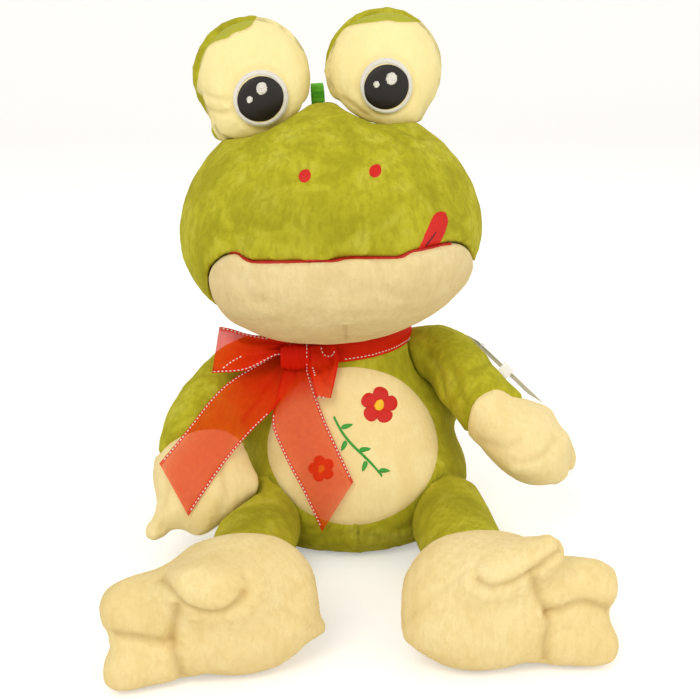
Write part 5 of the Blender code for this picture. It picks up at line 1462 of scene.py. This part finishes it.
@dataclass
class Head:
    """The stuffed head with muzzle, nostrils, mouth and tongue."""

    crown_lines: tuple = (
        ((200, 141), (213, 141), (247, 138), (265, 132), (283, 122.5), (297, 113), (312, 105)),
        ((333, 104), (340, 108), (357, 117), (373, 124), (388, 125), (396, 123), (420, 122), (436, 118)))
    skin: bpy.types.Object | None = None
    muzzle: bpy.types.Object | None = None

    def head_creases(self, piece: StuffedPiece, tree: BVHTree) -> list[Crease]:
        """Plan the back seam, the fold on the cheek, the wrinkles under the eye and three bands of painted
        shade.
        """
        lines = [Crease.cut(piece.item, Vector((-0.02, 0, 0.27)), Vector((0.995, 0.105, 0.055)),
                            lambda spots: (spots[:, 1] > 0.012), width=0.0017, depth=0.0011, tone=0.7)]
        folds = (([(228, 196), (233, 222), (240, 250)], 0.0060, 0.0014, 0.12),
                 ([(400, 129), (418, 138), (441, 139)], 0.0034, 0.0015, 0.25),
                 ([(396, 137), (410, 147), (425, 152)], 0.0034, 0.0010, 0.15),
                 ([(436, 150), (450, 165), (456, 185)], 0.0060, 0.0011, 0.10),
                 ([(283, 118), (300, 110), (317, 106)], 0.0040, 0.0007, 0.10),
                 ([(300, 135), (335, 128), (372, 136)], 0.0055, 0.0005, 0.05),
                 # No depth: wide bands of painted shade below the nostrils and down both sides of the head.
                 ([(262, 212), (320, 236), (380, 226)], 0.0300, 0.0, 0.22),
                 ([(205, 235), (200, 262), (208, 285)], 0.0130, 0.0, 0.20),
                 ([(425, 190), (440, 215), (462, 235)], 0.0160, 0.0, 0.16))
        for pixels, width, depth, tone in folds:
            lines += soft_folds(tree, [(pixels, width, depth)], tone)
        return lines

    def settle_crown(self) -> None:
        """Press the crown down where the eyes stand on it, so that it ends where the camera sees it end."""
        data = self.skin.data
        places = coordinates(data)
        spots = VIEW.pixels(places)
        down = -np.array(VIEW.axes()[2])
        shift = np.zeros(len(places))
        for line in self.crown_lines:
            across, level = np.array(line, float).T
            edge = np.interp(spots[:, 0], across, level)
            ends = np.clip(np.minimum(spots[:, 0] - across[0], across[-1] - spots[:, 0]) / 8, 0, 1)
            over = np.clip(edge - spots[:, 1], 0, None)
            shift = np.maximum(shift, over * ends)
        away = np.linalg.norm(places - np.array(VIEW.place), axis=1)
        scale = VIEW.sensor / VIEW.picture / VIEW.lens
        pairs = edge_pairs(data)
        for _ in range(6):
            shift = neighbour_mean(shift, pairs) * 0.5 + shift * 0.5
        move_points(data, places + down * (shift * scale * away * 0.95)[:, None])

    def muzzle_creases(self, piece: StuffedPiece, tree: BVHTree) -> list[Crease]:
        """Plan the short seam at the chin and the faint wrinkles."""
        lines = [Crease.seen(tree, [(345, 326), (346, 336), (347, 343)], width=0.0013, depth=0.0008,
                             tone=0.5)]
        folds = (([(262, 300), (290, 312), (318, 314)], 0.0050, 0.0006),
                 ([(384, 290), (402, 300), (428, 296)], 0.0045, 0.0007),
                 ([(240, 275), (246, 290), (258, 302)], 0.0045, 0.0006),
                 ([(330, 284), (352, 291), (374, 288)], 0.0050, 0.0005))
        return lines + soft_folds(tree, folds, 0.08)

    def build(self) -> None:
        """Build the head, the muzzle and the face's embroidery."""
        head = StuffedPiece("head_plush", ("head",), GREEN_PLUSH, swell=0.0020,
                            plan=self.head_creases, seed=4.1)
        self.skin = head.build()
        self.settle_crown()
        muzzle = StuffedPiece("muzzle_plush", ("muzzle",), SHADED_MUZZLE_PLUSH, voxel=0.0032,
                              swell=0.0026, shrink=0.0, plan=self.muzzle_creases, seed=6.6, ripple=0.0004)
        self.muzzle = muzzle.build()
        for item in (self.skin, self.muzzle):
            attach(item, "head")
        green = tree_of([self.skin])
        both = tree_of([self.skin, self.muzzle])
        for side, centre in ((Side.LEFT, (375.2, 171.0)), (Side.RIGHT, (304.7, 176.0))):
            satin(f"nostril_{side.value}_thread", green, disc_rows(centre, 6.6, 6.8, 35), 0.0010, RED_THREAD,
                  (f"nostril_{side.value}",), "head")
        mouth = [(229, 254), (237, 252), (243, 258), (250, 262), (271, 262.3), (317, 260.8), (336, 261),
                 (345, 257.5), (370, 257.6), (397, 257.6), (404, 256.2), (409, 252.6), (413, 250.8),
                 (424, 249.3), (434, 246.8), (442, 244.9), (451, 244.2)]
        satin("mouth_thread", both, line_rows(mouth, [2.4, 3.6, 3.8, 3.6, 3.8, 3.8, 3.4, 2.4], slant=0.5),
              0.0009, MOUTH_THREAD, ("mouth_line",), "head", steps=5, base=0.0005)
        tongue = [(416, 250), (419.6, 246), (424.2, 233.4), (428.7, 223.8), (432.5, 215.5), (436.3, 212.2),
                  (440.6, 211.3), (445.3, 213.2), (448.1, 217.4), (449, 221.9), (447.4, 228.3),
                  (445.3, 234.6), (442, 241), (440.8, 246)]
        satin("tongue_thread", green, outline_rows(tongue, 24), 0.0010, RED_THREAD, ("tongue",), "head",
              steps=8)
        satin("tongue_crease_thread", green, line_rows([(435.2, 232.2), (431, 238), (425.2, 245)],
                                                       [1.8, 3.2, 3.8]), 0.0006, DARK_RED_THREAD,
              ("tongue_line",), "head", steps=4, base=0.0010)


RING_THREADS = 480


@dataclass
class Eye:
    """One raised eye: a green back, a cream face and an embroidered iris."""

    side: Side
    ring_centre: Pixel
    ring_radius: tuple[float, float]
    pupil_centre: Pixel
    pupil_radius: tuple[float, float]
    large_spot: Pixel
    small_spot: Pixel
    cream_edge: Sequence[Pixel]
    middle: Place
    facing: Place
    wrinkles: tuple = ()
    nudges: tuple = ()
    radius: float = 0.0455
    front_swell: float = 0.0256
    back_swell: float = 0.0300
    rim_depth: float = 0.0150

    def core(self, swell: float) -> tuple[np.ndarray, list]:
        """Make the whole half cushion, of which the solid keeps only what stands clear of the head.

        Args:
            swell: how far it bulges out of its seam; below nought for the back.

        Returns:
            Its points and faces.
        """
        out = np.array(self.facing)
        across = np.cross(np.array((0.0, 0.0, 1.0)), out)
        across /= np.linalg.norm(across)
        up = np.cross(out, across)
        points, faces = [], []
        rings, spokes = 10, 40
        for ring in range(rings):
            angle = math.pi / 2 * ring / (rings - 0.5)
            for spoke in range(spokes):
                turn = 2 * math.pi * spoke / spokes
                size = self.radius * math.cos(angle) ** 0.8
                depth = swell * math.sin(angle) + math.copysign(0.0003, swell)
                points.append(np.array(self.middle) + out * depth
                              + (across * math.cos(turn) + up * math.sin(turn)) * size)
        for ring in range(rings - 1):
            for spoke in range(spokes):
                after = (spoke + 1) % spokes
                face = (ring * spokes + spoke, ring * spokes + after,
                        (ring + 1) * spokes + after, (ring + 1) * spokes + spoke)
                faces.append(face if swell > 0 else face[::-1])
        first = tuple(range(spokes))
        last = tuple((rings - 1) * spokes + spoke for spoke in range(spokes))
        faces.extend([first[::-1], last] if swell > 0 else [first, last[::-1]])
        return np.array(points), faces

    def creases(self, piece: StuffedPiece, tree: BVHTree) -> list[Crease]:
        """Plan the soft hollow round the ring, the seam of the green back and the wrinkles, each darkened
        with painted shade.
        """
        outline = oval(self.ring_centre, self.ring_radius[0] + 2, self.ring_radius[1] + 2, 24)
        outline.append(outline[0])
        lines = [Crease.seen(tree, outline, width=0.0030, depth=0.0010, tone=0.16, pucker=0.0001),
                 Crease.seen(tree, self.cream_edge, width=0.0013, depth=0.0010, tone=0.40, pucker=0.0004)]
        return lines + soft_folds(tree, [(pixels, 0.0030, 0.0012) for pixels in self.wrinkles], 0.15)

    def build(self, head: bpy.types.Object) -> None:
        """Build the eye over its solids."""
        name = self.side.value
        hit, _ = VIEW.reach(tree_of([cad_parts[f"eye_front_{name}"]]), self.ring_centre)
        back = StuffedPiece(f"eye_back_{name}_plush", (f"eye_back_{name}",), EYE_BACK_PLUSH,
                            voxel=0.003, swell=0.0022, shrink=0.0004, seed=2.0 + self.ring_centre[0],
                            cores=[self.core(-self.back_swell)], nudges=self.nudges)
        face = StuffedPiece(f"eye_face_{name}_plush", (f"eye_front_{name}",), EYE_PLUSH,
                            voxel=0.003, swell=0.0016, shrink=0.0003, plan=self.creases,
                            seed=self.ring_centre[0], ripple=0.0007, ripple_size=0.022,
                            held_spots=[(hit, 0.016)], cores=[self.core(self.front_swell)],
                            nudges=self.nudges)
        skins = [piece.build() for piece in (back, face)]
        outline = along_line([*self.cream_edge, self.cream_edge[0]], OUTLINE_POINTS)
        away = [beyond(outline, VIEW.pixels(coordinates(skin.data))) for skin in skins]
        behind = (np.array(self.middle) - coordinates(skins[0].data)) @ np.array(self.facing)
        rim = np.clip((self.rim_depth - behind) / 0.002 + 0.5, 0, 1)
        point_attribute(skins[0].data, "cap", np.clip(0.5 - away[0] * 0.1, 0, 1) * rim)
        point_attribute(skins[1].data, "cap", np.clip(0.5 + away[1] * 0.1, 0, 1))
        for item in skins:
            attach(item, "head")
        tree = tree_of([skins[1], head])
        hole = oval(self.pupil_centre, self.pupil_radius[0] - 0.6, self.pupil_radius[1] - 0.6, RING_THREADS)
        rows = list(zip(oval(self.ring_centre, *self.ring_radius, RING_THREADS), hole))
        satin(f"iris_ring_{name}_thread", tree, rows, 0.0010, WHITE_THREAD, (f"iris_ring_{name}",), "head",
              steps=6, closed=True)
        pupil = satin(f"pupil_{name}_thread", tree,
                      disc_rows(self.pupil_centre, self.pupil_radius[0], self.pupil_radius[1], 62), 0.0008,
                      BLACK_THREAD, (f"pupil_{name}",), "head", steps=14, base=0.0005)
        top = tree_of([pupil])
        for label, spot, radius in (("large", self.large_spot, 6.3), ("small", self.small_spot, 3.4)):
            satin(f"highlight_{label}_{name}_thread", top, disc_rows(spot, radius, radius, 5), 0.0006,
                  WHITE_THREAD, (f"highlight_{label}_{name}",), "head", steps=6, base=0.0003)


@dataclass
class Arm:
    """One arm: a green sleeve and a cream three-fingered hand."""

    side: Side
    start: Place
    end: Place
    cream_edge: Sequence[Pixel]
    folds: tuple = ()
    hand_folds: tuple = ()
    nudges: tuple = ()
    hand_nudges: tuple = ()

    def creases(self, piece: StuffedPiece, tree: BVHTree) -> list[Crease]:
        """Plan the folds that the camera sees on the sleeve or the hand."""
        folds = self.hand_folds if piece.name.startswith("hand") else self.folds
        return soft_folds(tree, folds, 0.20)

    def build(self) -> None:
        """Build the sleeve and the hand."""
        name = self.side.value
        sleeve = StuffedPiece(f"sleeve_{name}_plush", (f"arm_{name}",), GREEN_PLUSH, voxel=0.0034,
                              swell=0.0022, plan=self.creases, seed=8.0, nudges=self.nudges,
                              also=(f"hand_{name}",), tuck=self.cream_edge, tuck_inside=True)
        skin = sleeve.build()
        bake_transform(skin)
        hand = StuffedPiece(f"hand_{name}_plush", (f"hand_{name}",), CREAM_PLUSH, voxel=0.0028,
                            swell=0.0026, seed=12.0, plan=self.creases,
                            nudges=self.hand_nudges, tuck=self.cream_edge, tuck_inside=False)
        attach(hand.build(), f"arm_{name}")


@dataclass
class Leg:
    """One leg: a green thigh and a big cream foot."""

    side: Side
    start: Place
    end: Place
    clefts: tuple = ()
    seams: tuple = ()
    shades: tuple = ()

    def thigh_shades(self, piece: StuffedPiece, tree: BVHTree) -> list[Crease]:
        """Plan a wide band of painted shade on the thigh."""
        return [Crease.seen(tree, pixels, width=0.020, depth=0.0, tone=0.28, pucker=0.0)
                for pixels in self.shades]

    def creases(self, piece: StuffedPiece, tree: BVHTree) -> list[Crease]:
        """Plan the deep clefts between the toes and the faint seams of the pad, darkened with painted shade.
        """
        lines = [Crease.seen(tree, pixels, width=0.0042, depth=0.0034, tone=0.42, pucker=0.0004)
                 for pixels in self.clefts]
        lines += [Crease.seen(tree, pixels, width=0.0032, depth=0.0010, tone=0.12, pucker=0.0002)
                  for pixels in self.seams]
        return lines

    def build(self) -> None:
        """Build the thigh and the foot."""
        name = self.side.value
        thigh = StuffedPiece(f"thigh_{name}_plush", (f"hip_{name}", f"leg_{name}"), GREEN_PLUSH,
                             voxel=0.0036, swell=0.0020, seed=16.0, plan=self.thigh_shades)
        skin = thigh.build()
        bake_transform(skin)
        foot = StuffedPiece(f"foot_{name}_plush", (f"foot_{name}",), SHADED_FOOT_PLUSH, voxel=0.0032,
                            swell=0.0028, seed=20.0, plan=self.creases)
        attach(foot.build(), f"leg_{name}")


COLLAR_PHASE = 7.573238863271069


@dataclass
class RibbonBow:
    """The sheer ribbon: a collar round the neck, a knot, two loops and two tails."""

    collar_rows: int = 200
    collar_columns: int = 12
    collar_dip: float = 0.0055

    def build(self) -> None:
        """Build every length of the ribbon."""
        self.build_collar()
        self.build_knot()
        parts = (
            RibbonPart("ribbon_tail_r", "bow_tail_r",
                       [(296, 347), (281, 351), (264.7, 360.9), (238.8, 373.8), (214.7, 393.2), (187, 430.2),
                        (159.2, 463.5)],
                       [(301, 364), (292, 385), (272, 411.7), (253.6, 428.4), (229.5, 456.1), (211, 482),
                        (188.3, 516.2)],
                       rows=90, columns=26, rests_on=("torso_plush", "hand_r_plush"), gather_reach=0.48,
                       seed=0.4, from_a=0.08, from_b=0.32,
                       follows=("arm_r", (-0.070, -0.085, 0.152), (-0.118, -0.100, 0.120))),
            RibbonPart("ribbon_tail_l", "bow_tail_l",
                       [(287, 360), (280, 382), (273, 409.9), (271.1, 424.7), (277.6, 441.3), (290.6, 469),
                        (303.5, 491.2), (322, 531.9)],
                       [(306, 360), (311.8, 384), (317.4, 400.6), (325.7, 422.8), (338.6, 450.6),
                        (353.4, 482)],
                       rows=90, columns=26, rests_on=("torso_plush", "belly_plush"), gather_reach=0.27,
                       seed=2.0, from_a=0.30, from_b=0.04),
            RibbonPart("ribbon_loop_r", "bow_loop_r",
                       [(290, 346), (276, 338.5), (246.2, 334), (231.4, 328.5), (219.4, 326.6)],
                       [(288, 360), (279.5, 353), (268.4, 359), (253.6, 367.3), (240.6, 372), (212, 373)],
                       rows=50, columns=22, held="folded", rests_on=("sleeve_r_plush",), gather_reach=0.9,
                       seed=1.1, back_layer=0.006, from_a=0.30,
                       extra=([(222, 369), (232, 361), (246, 354)],),
                       follows=("arm_r", (-0.070, -0.085, 0.165), (-0.190, -0.085, 0.165))),
            RibbonPart("ribbon_loop_l", "bow_loop_l",
                       [(300, 347), (306, 362), (311, 378), (316, 397)],
                       [(334, 345), (340, 356), (336, 376), (331, 398)],
                       rows=40, columns=20, held="folded", rests_on=("belly_plush",), gather_reach=0.85,
                       gather_full=0.85, seed=3.1, back_layer=0.005, stitch_a=False, stitch_b=False,
                       extra=([(321, 346), (322, 353), (327, 357), (333, 355.5), (335, 350), (332, 346)],
                              [(317, 396), (323, 397.5), (330.5, 397.5)],
                              [(312, 366), (315, 374), (315, 380)])),
        )
        for part in parts:
            part.build("torso")

    def build_collar(self) -> None:
        """Wrap the band round the neck, on the outside of its solid."""
        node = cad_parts["collar_ribbon"]
        tree = tree_of([node, bpy.data.objects["torso_plush"]])
        places = coordinates(node.data)
        centre = (places.min(axis=0) + places.max(axis=0)) / 2
        turns = np.arctan2(places[:, 1] - centre[1], places[:, 0] - centre[0])
        bins = np.linspace(-math.pi, math.pi, 25)
        lows, highs, middles = [], [], []
        for low, high in zip(bins[:-1], bins[1:]):
            inside = (turns >= low) & (turns < high)
            if inside.sum() > 3:
                lows.append(places[inside, 2].min())
                highs.append(places[inside, 2].max())
                middles.append((low + high) / 2)
        basis = np.stack([np.ones(len(middles)), np.cos(middles), np.sin(middles)], axis=1)
        low_fit = np.linalg.lstsq(basis, np.array(lows), rcond=None)[0]
        high_fit = np.linalg.lstsq(basis, np.array(highs), rcond=None)[0]
        away = np.full((self.collar_rows, self.collar_columns), np.nan)
        base = np.empty((self.collar_rows, self.collar_columns, 3))
        ways = np.empty_like(base)
        for row in range(self.collar_rows):
            turn = -math.pi / 2 + 2 * math.pi * row / (self.collar_rows - 1)
            row_basis = np.array([1, math.cos(turn), math.sin(turn)])
            low, high = row_basis @ low_fit, row_basis @ high_fit
            low -= self.collar_dip * max(0.0, -math.sin(turn))
            way = np.array((math.cos(turn), math.sin(turn), 0))
            for column in range(self.collar_columns):
                share = 0.03 + 0.94 * column / (self.collar_columns - 1)
                start = np.array((centre[0], centre[1], low * (1 - share) + high * share)) + way * 0.2
                base[row, column], ways[row, column] = start, -way
                hit = tree.ray_cast(Vector(start), Vector(-way))
                if hit[0] is not None:
                    away[row, column] = (hit[0] - Vector(start)).length - 0.0006
        cloth = Cloth("ribbon_collar", base + ways * filled(away)[..., None])
        cloth.gather = np.full(cloth.grid.shape[:2], 0.85)
        run = np.linspace(0, 1, self.collar_rows)[:, None]
        share = np.linspace(0, 1, self.collar_columns)[None, :]
        outward = -ways
        folds = 0.0007 * np.sin(2 * math.pi * 2 * share + COLLAR_PHASE + 12 * run)
        cloth.grid = cloth.grid + outward * folds[..., None]
        item = cloth.build(hem=0.0020)
        lines = [cloth.grid[:, column] + outward[:, column] * 0.0002 for column in (1, -2)]
        stitches = Stitching().along("ribbon_collar_stitches", lines, [outward[:, 1], outward[:, -2]])
        finish_ribbon(cloth, item, stitches, "collar_ribbon", "torso")

    def build_knot(self) -> None:
        """Build the knot: a plump wrap of ribbon with pleats drawn in at both sides."""
        low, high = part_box("bow_knot")
        centre = (np.array(low) + np.array(high)) / 2
        half = (np.array(high) - np.array(low)) / 2
        rows, columns = 64, 20
        grid = np.empty((rows + 1, columns, 3))
        for row in range(rows + 1):
            turn = 2 * math.pi * row / rows
            for column in range(columns):
                share = 2 * column / (columns - 1) - 1
                pleat = 1 + 0.06 * math.sin(column * 1.9 + 1.5 * math.sin(turn))
                waist = (1 - 0.16 * abs(share) ** 2.2) * pleat
                front = math.copysign(abs(math.cos(turn)) ** 0.55, math.cos(turn))
                grid[row, column] = (centre[0] + half[0] * share,
                                     centre[1] - half[1] * 0.82 * waist * front,
                                     centre[2] + half[2] * 0.98 * waist * math.sin(turn))
        cloth = Cloth("ribbon_knot", grid)
        cloth.gather = np.ones(grid.shape[:2])
        item = cloth.build(hem=0.0015)
        way = grid - centre
        way /= np.linalg.norm(way, axis=2)[..., None]
        lines = [grid[:, -3] + way[:, -3] * 0.0003]
        stitches = Stitching().along("ribbon_knot_stitches", lines, [way[:, -3]])
        finish_ribbon(cloth, item, stitches, "bow_knot", "torso")


@dataclass
class Trims:
    """The hanging loop, the blank card tag with its fastener, and the small satin label."""

    def build(self) -> None:
        """Dress the trims' own solids and weave the loop."""
        for node, finish in (("hang_tag", CARD), ("tag_fastener", CLEAR_PLASTIC)):
            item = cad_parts[node]
            item.data.materials.clear()
            item.data.materials.append(finish.material())
            LOG.info("%s: dressed", node)
        self.build_tape("hanging_loop_tape", "hanging_loop", LOOP_TAPE, "head")
        self.build_tape("satin_label_tape", "satin_label", SATIN, "arm_l")

    def build_tape(self, name: str, node: str, finish: WovenFinish, body: str) -> None:
        """Remake a flat woven trim from its solid, with rounded edges and its own weave."""
        item = copy_solids(name, (node,))
        apply_modifier(item, "BEVEL", width=0.0002, segments=2, limit_method="ANGLE",
                       angle_limit=math.radians(40))
        places = coordinates(item.data)
        spread = places - places.mean(axis=0)
        axes = np.linalg.svd(spread, full_matrices=False)[2]
        lay_flat(item.data, spread @ axes[:2].T)
        dress(item, finish)
        choose(item)
        bpy.ops.object.shade_smooth_by_angle(angle=math.radians(35))
        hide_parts(node)
        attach(item, body)


@dataclass
class Studio:
    """The pale stage, the lamps and the camera."""

    key: float = 13.2
    fill: float = 6.0
    rim: float = 4.0
    world: float = 0.68

    def build(self) -> None:
        """Build the stage and the lights, and set the picture's colour handling."""
        half, tall = 3.0, 4.0
        corners = [(-half, -half, 0), (half, -half, 0), (half, half, 0), (-half, half, 0),
                   (-half, half, tall), (half, half, tall)]
        floor = new_object("floor", corners, [(0, 1, 2, 3), (3, 2, 5, 4)])
        apply_modifier(floor, "BEVEL", width=0.8, segments=12, limit_method="ANGLE")
        floor.data.shade_smooth()
        floor.data.materials.append(PAPER.material())
        for name, place, size, power in (("key lamp", (-0.55, -1.5, 1.45), 0.9, self.key),
                                         ("fill lamp", (1.1, -1.1, 0.8), 1.2, self.fill),
                                         ("rim lamp", (0.2, 1.2, 1.4), 1.2, self.rim)):
            data = bpy.data.lights.new(name, "AREA")
            data.size = size
            data.energy = power
            data.color = (1.0, 0.985, 0.955)
            lamp = bpy.data.objects.new(name, data)
            lamp.location = place
            lamp.rotation_mode = "QUATERNION"
            lamp.rotation_quaternion = (Vector((0, -0.05, 0.2)) - Vector(place)).to_track_quat("-Z", "Y")
            bpy.context.scene.collection.objects.link(lamp)
        world = bpy.data.worlds.new("soft room")
        bpy.context.scene.world = world
        world.use_nodes = True
        back = world.node_tree.nodes["Background"]
        wire = Wiring(world.node_tree)
        strength = wire.math("ADD", wire.math("MULTIPLY", wire.seen(), 1 - self.world), self.world)
        wire.feed(back, Color=(1.0, 0.995, 0.985, 1.0), Strength=strength)
        bpy.context.scene.view_settings.view_transform = "Standard"


EYES = (
    Eye(Side.RIGHT, (260.9, 98.3), (28.0, 29.0), (260.4, 98.9), (23.4, 23.9), (261.7, 88.4), (249.6, 99.6),
        [(252, 25), (245, 30), (232, 33), (229, 38), (215, 41), (207, 47), (202.5, 58), (200, 67), (198, 78),
         (196, 91), (203, 96), (206, 107), (208, 120), (215, 133), (222, 146), (250, 160), (330, 150),
         (340, 60), (310, 10), (262, 8)], (-0.0822, -0.0007, 0.3875), (0.2184, -0.9696, 0.1104),
        (((199, 92), (212, 98), (226, 101)), ((206, 108), (216, 114), (228, 113))),
        nudges=(((222, 130), 13.0, (-7.0, 7.0)), ((240, 138), 17.0, (0.0, 9.5)))),
    Eye(Side.LEFT, (386.2, 85.6), (26.4, 28.2), (386.4, 87.0), (22.5, 23.6), (391.5, 78.7), (376.5, 84.4),
        [(420, 22), (408, 22), (395, 22), (390, 20), (375, 22), (355, 24), (345, 27.5), (337, 38), (331, 50),
         (326, 63), (324, 75), (327, 87), (333, 103), (342, 118), (380, 140), (440, 130), (470, 60),
         (440, 28)], (0.0231, 0.0104, 0.3934), (0.0634, -0.9927, 0.1024),
        (((344, 100), (356, 108), (366, 116)),),
        nudges=(((413, 118), 11.0, (5.0, 4.0)), ((396, 124), 14.0, (0.0, 6.0)))))
ARMS = (
    Arm(Side.LEFT, (0.045, 0.012, 0.145), (0.075, 0.0, 0.135),
        [(467, 430), (469, 414), (474, 399), (485, 389), (500, 387), (516, 397), (560, 400), (620, 470),
         (590, 520), (500, 510), (467, 460)],
        folds=(([(428, 352), (440, 372), (444, 396)], 0.0042, 0.0016),
               ([(452, 368), (458, 388), (466, 404)], 0.0040, 0.0012),
               ([(470, 372), (480, 366), (492, 364)], 0.0040, 0.0010)),
        hand_folds=(([(480, 440), (500, 447), (520, 440)], 0.0050, 0.0009),
                    ([(556, 436), (548, 452), (530, 462), (512, 460)], 0.0045, 0.0012)),
        nudges=(((440, 394), 14.0, (-1.0, 6.0)), ((462, 418), 10.0, (3.0, 3.0))),
        hand_nudges=(((545, 412), 16.0, (6.0, -5.0)), ((565, 440), 14.0, (6.0, -4.0)))),
    Arm(Side.RIGHT, (-0.062, 0.012, 0.140), (-0.090, -0.005, 0.130),
        [(160, 452), (166, 445), (183, 434), (207, 427), (227, 429), (242, 440), (257, 456), (266, 478),
         (290, 530), (200, 580), (110, 560), (120, 480)],
        folds=(([(206, 400), (202, 420), (190, 440)], 0.0042, 0.0010),),
        hand_folds=(([(170, 470), (168, 500), (160, 525)], 0.0045, 0.0008),
                    ([(222, 470), (228, 490), (222, 508)], 0.0050, 0.0012)),
        nudges=(((252, 402), 16.0, (12.0, 0.0)),)))
LEGS = (
    Leg(Side.LEFT, (0.073, -0.060, 0.035), (0.073, -0.125, 0.035),
        clefts=(((565, 547), (547, 562), (520, 582), (493, 590), (477, 580)),
                ((533, 577), (540, 600), (550, 615)), ((550, 615), (580, 602), (600, 607), (622, 616)),
                ((552, 617), (547, 640), (545, 662))),
        seams=(((468, 570), (430, 600), (400, 627)), ((477, 580), (474, 568), (480, 558))),
        shades=(((428, 500), (452, 495), (485, 515)),)),
    Leg(Side.RIGHT, (-0.073, -0.060, 0.035), (-0.073, -0.125, 0.035),
        clefts=(((160, 577), (177, 603), (200, 615), (223, 615), (237, 606), (246, 594)),
                ((113, 636), (143, 640), (170, 643)),
                ((176, 608), (174, 627), (170, 643), (178, 667), (187, 688))),
        seams=(((237, 590), (277, 603), (323, 633)), ((246, 594), (250, 584), (244, 574))),
        shades=(((232, 528), (262, 508), (295, 512)),)))


def main() -> None:
    """Build the toy and its studio in order."""
    logging.basicConfig(level=logging.INFO, format="%(name)s %(message)s")
    VIEW.camera()
    Studio().build()
    Body().build()
    head = Head()
    head.build()
    for eye in EYES:
        eye.build(head.skin)
    for limb in (*ARMS, *LEGS):
        limb.build()
    RibbonBow().build()
    Trims().build()


if __name__ == "__main__":
    main()
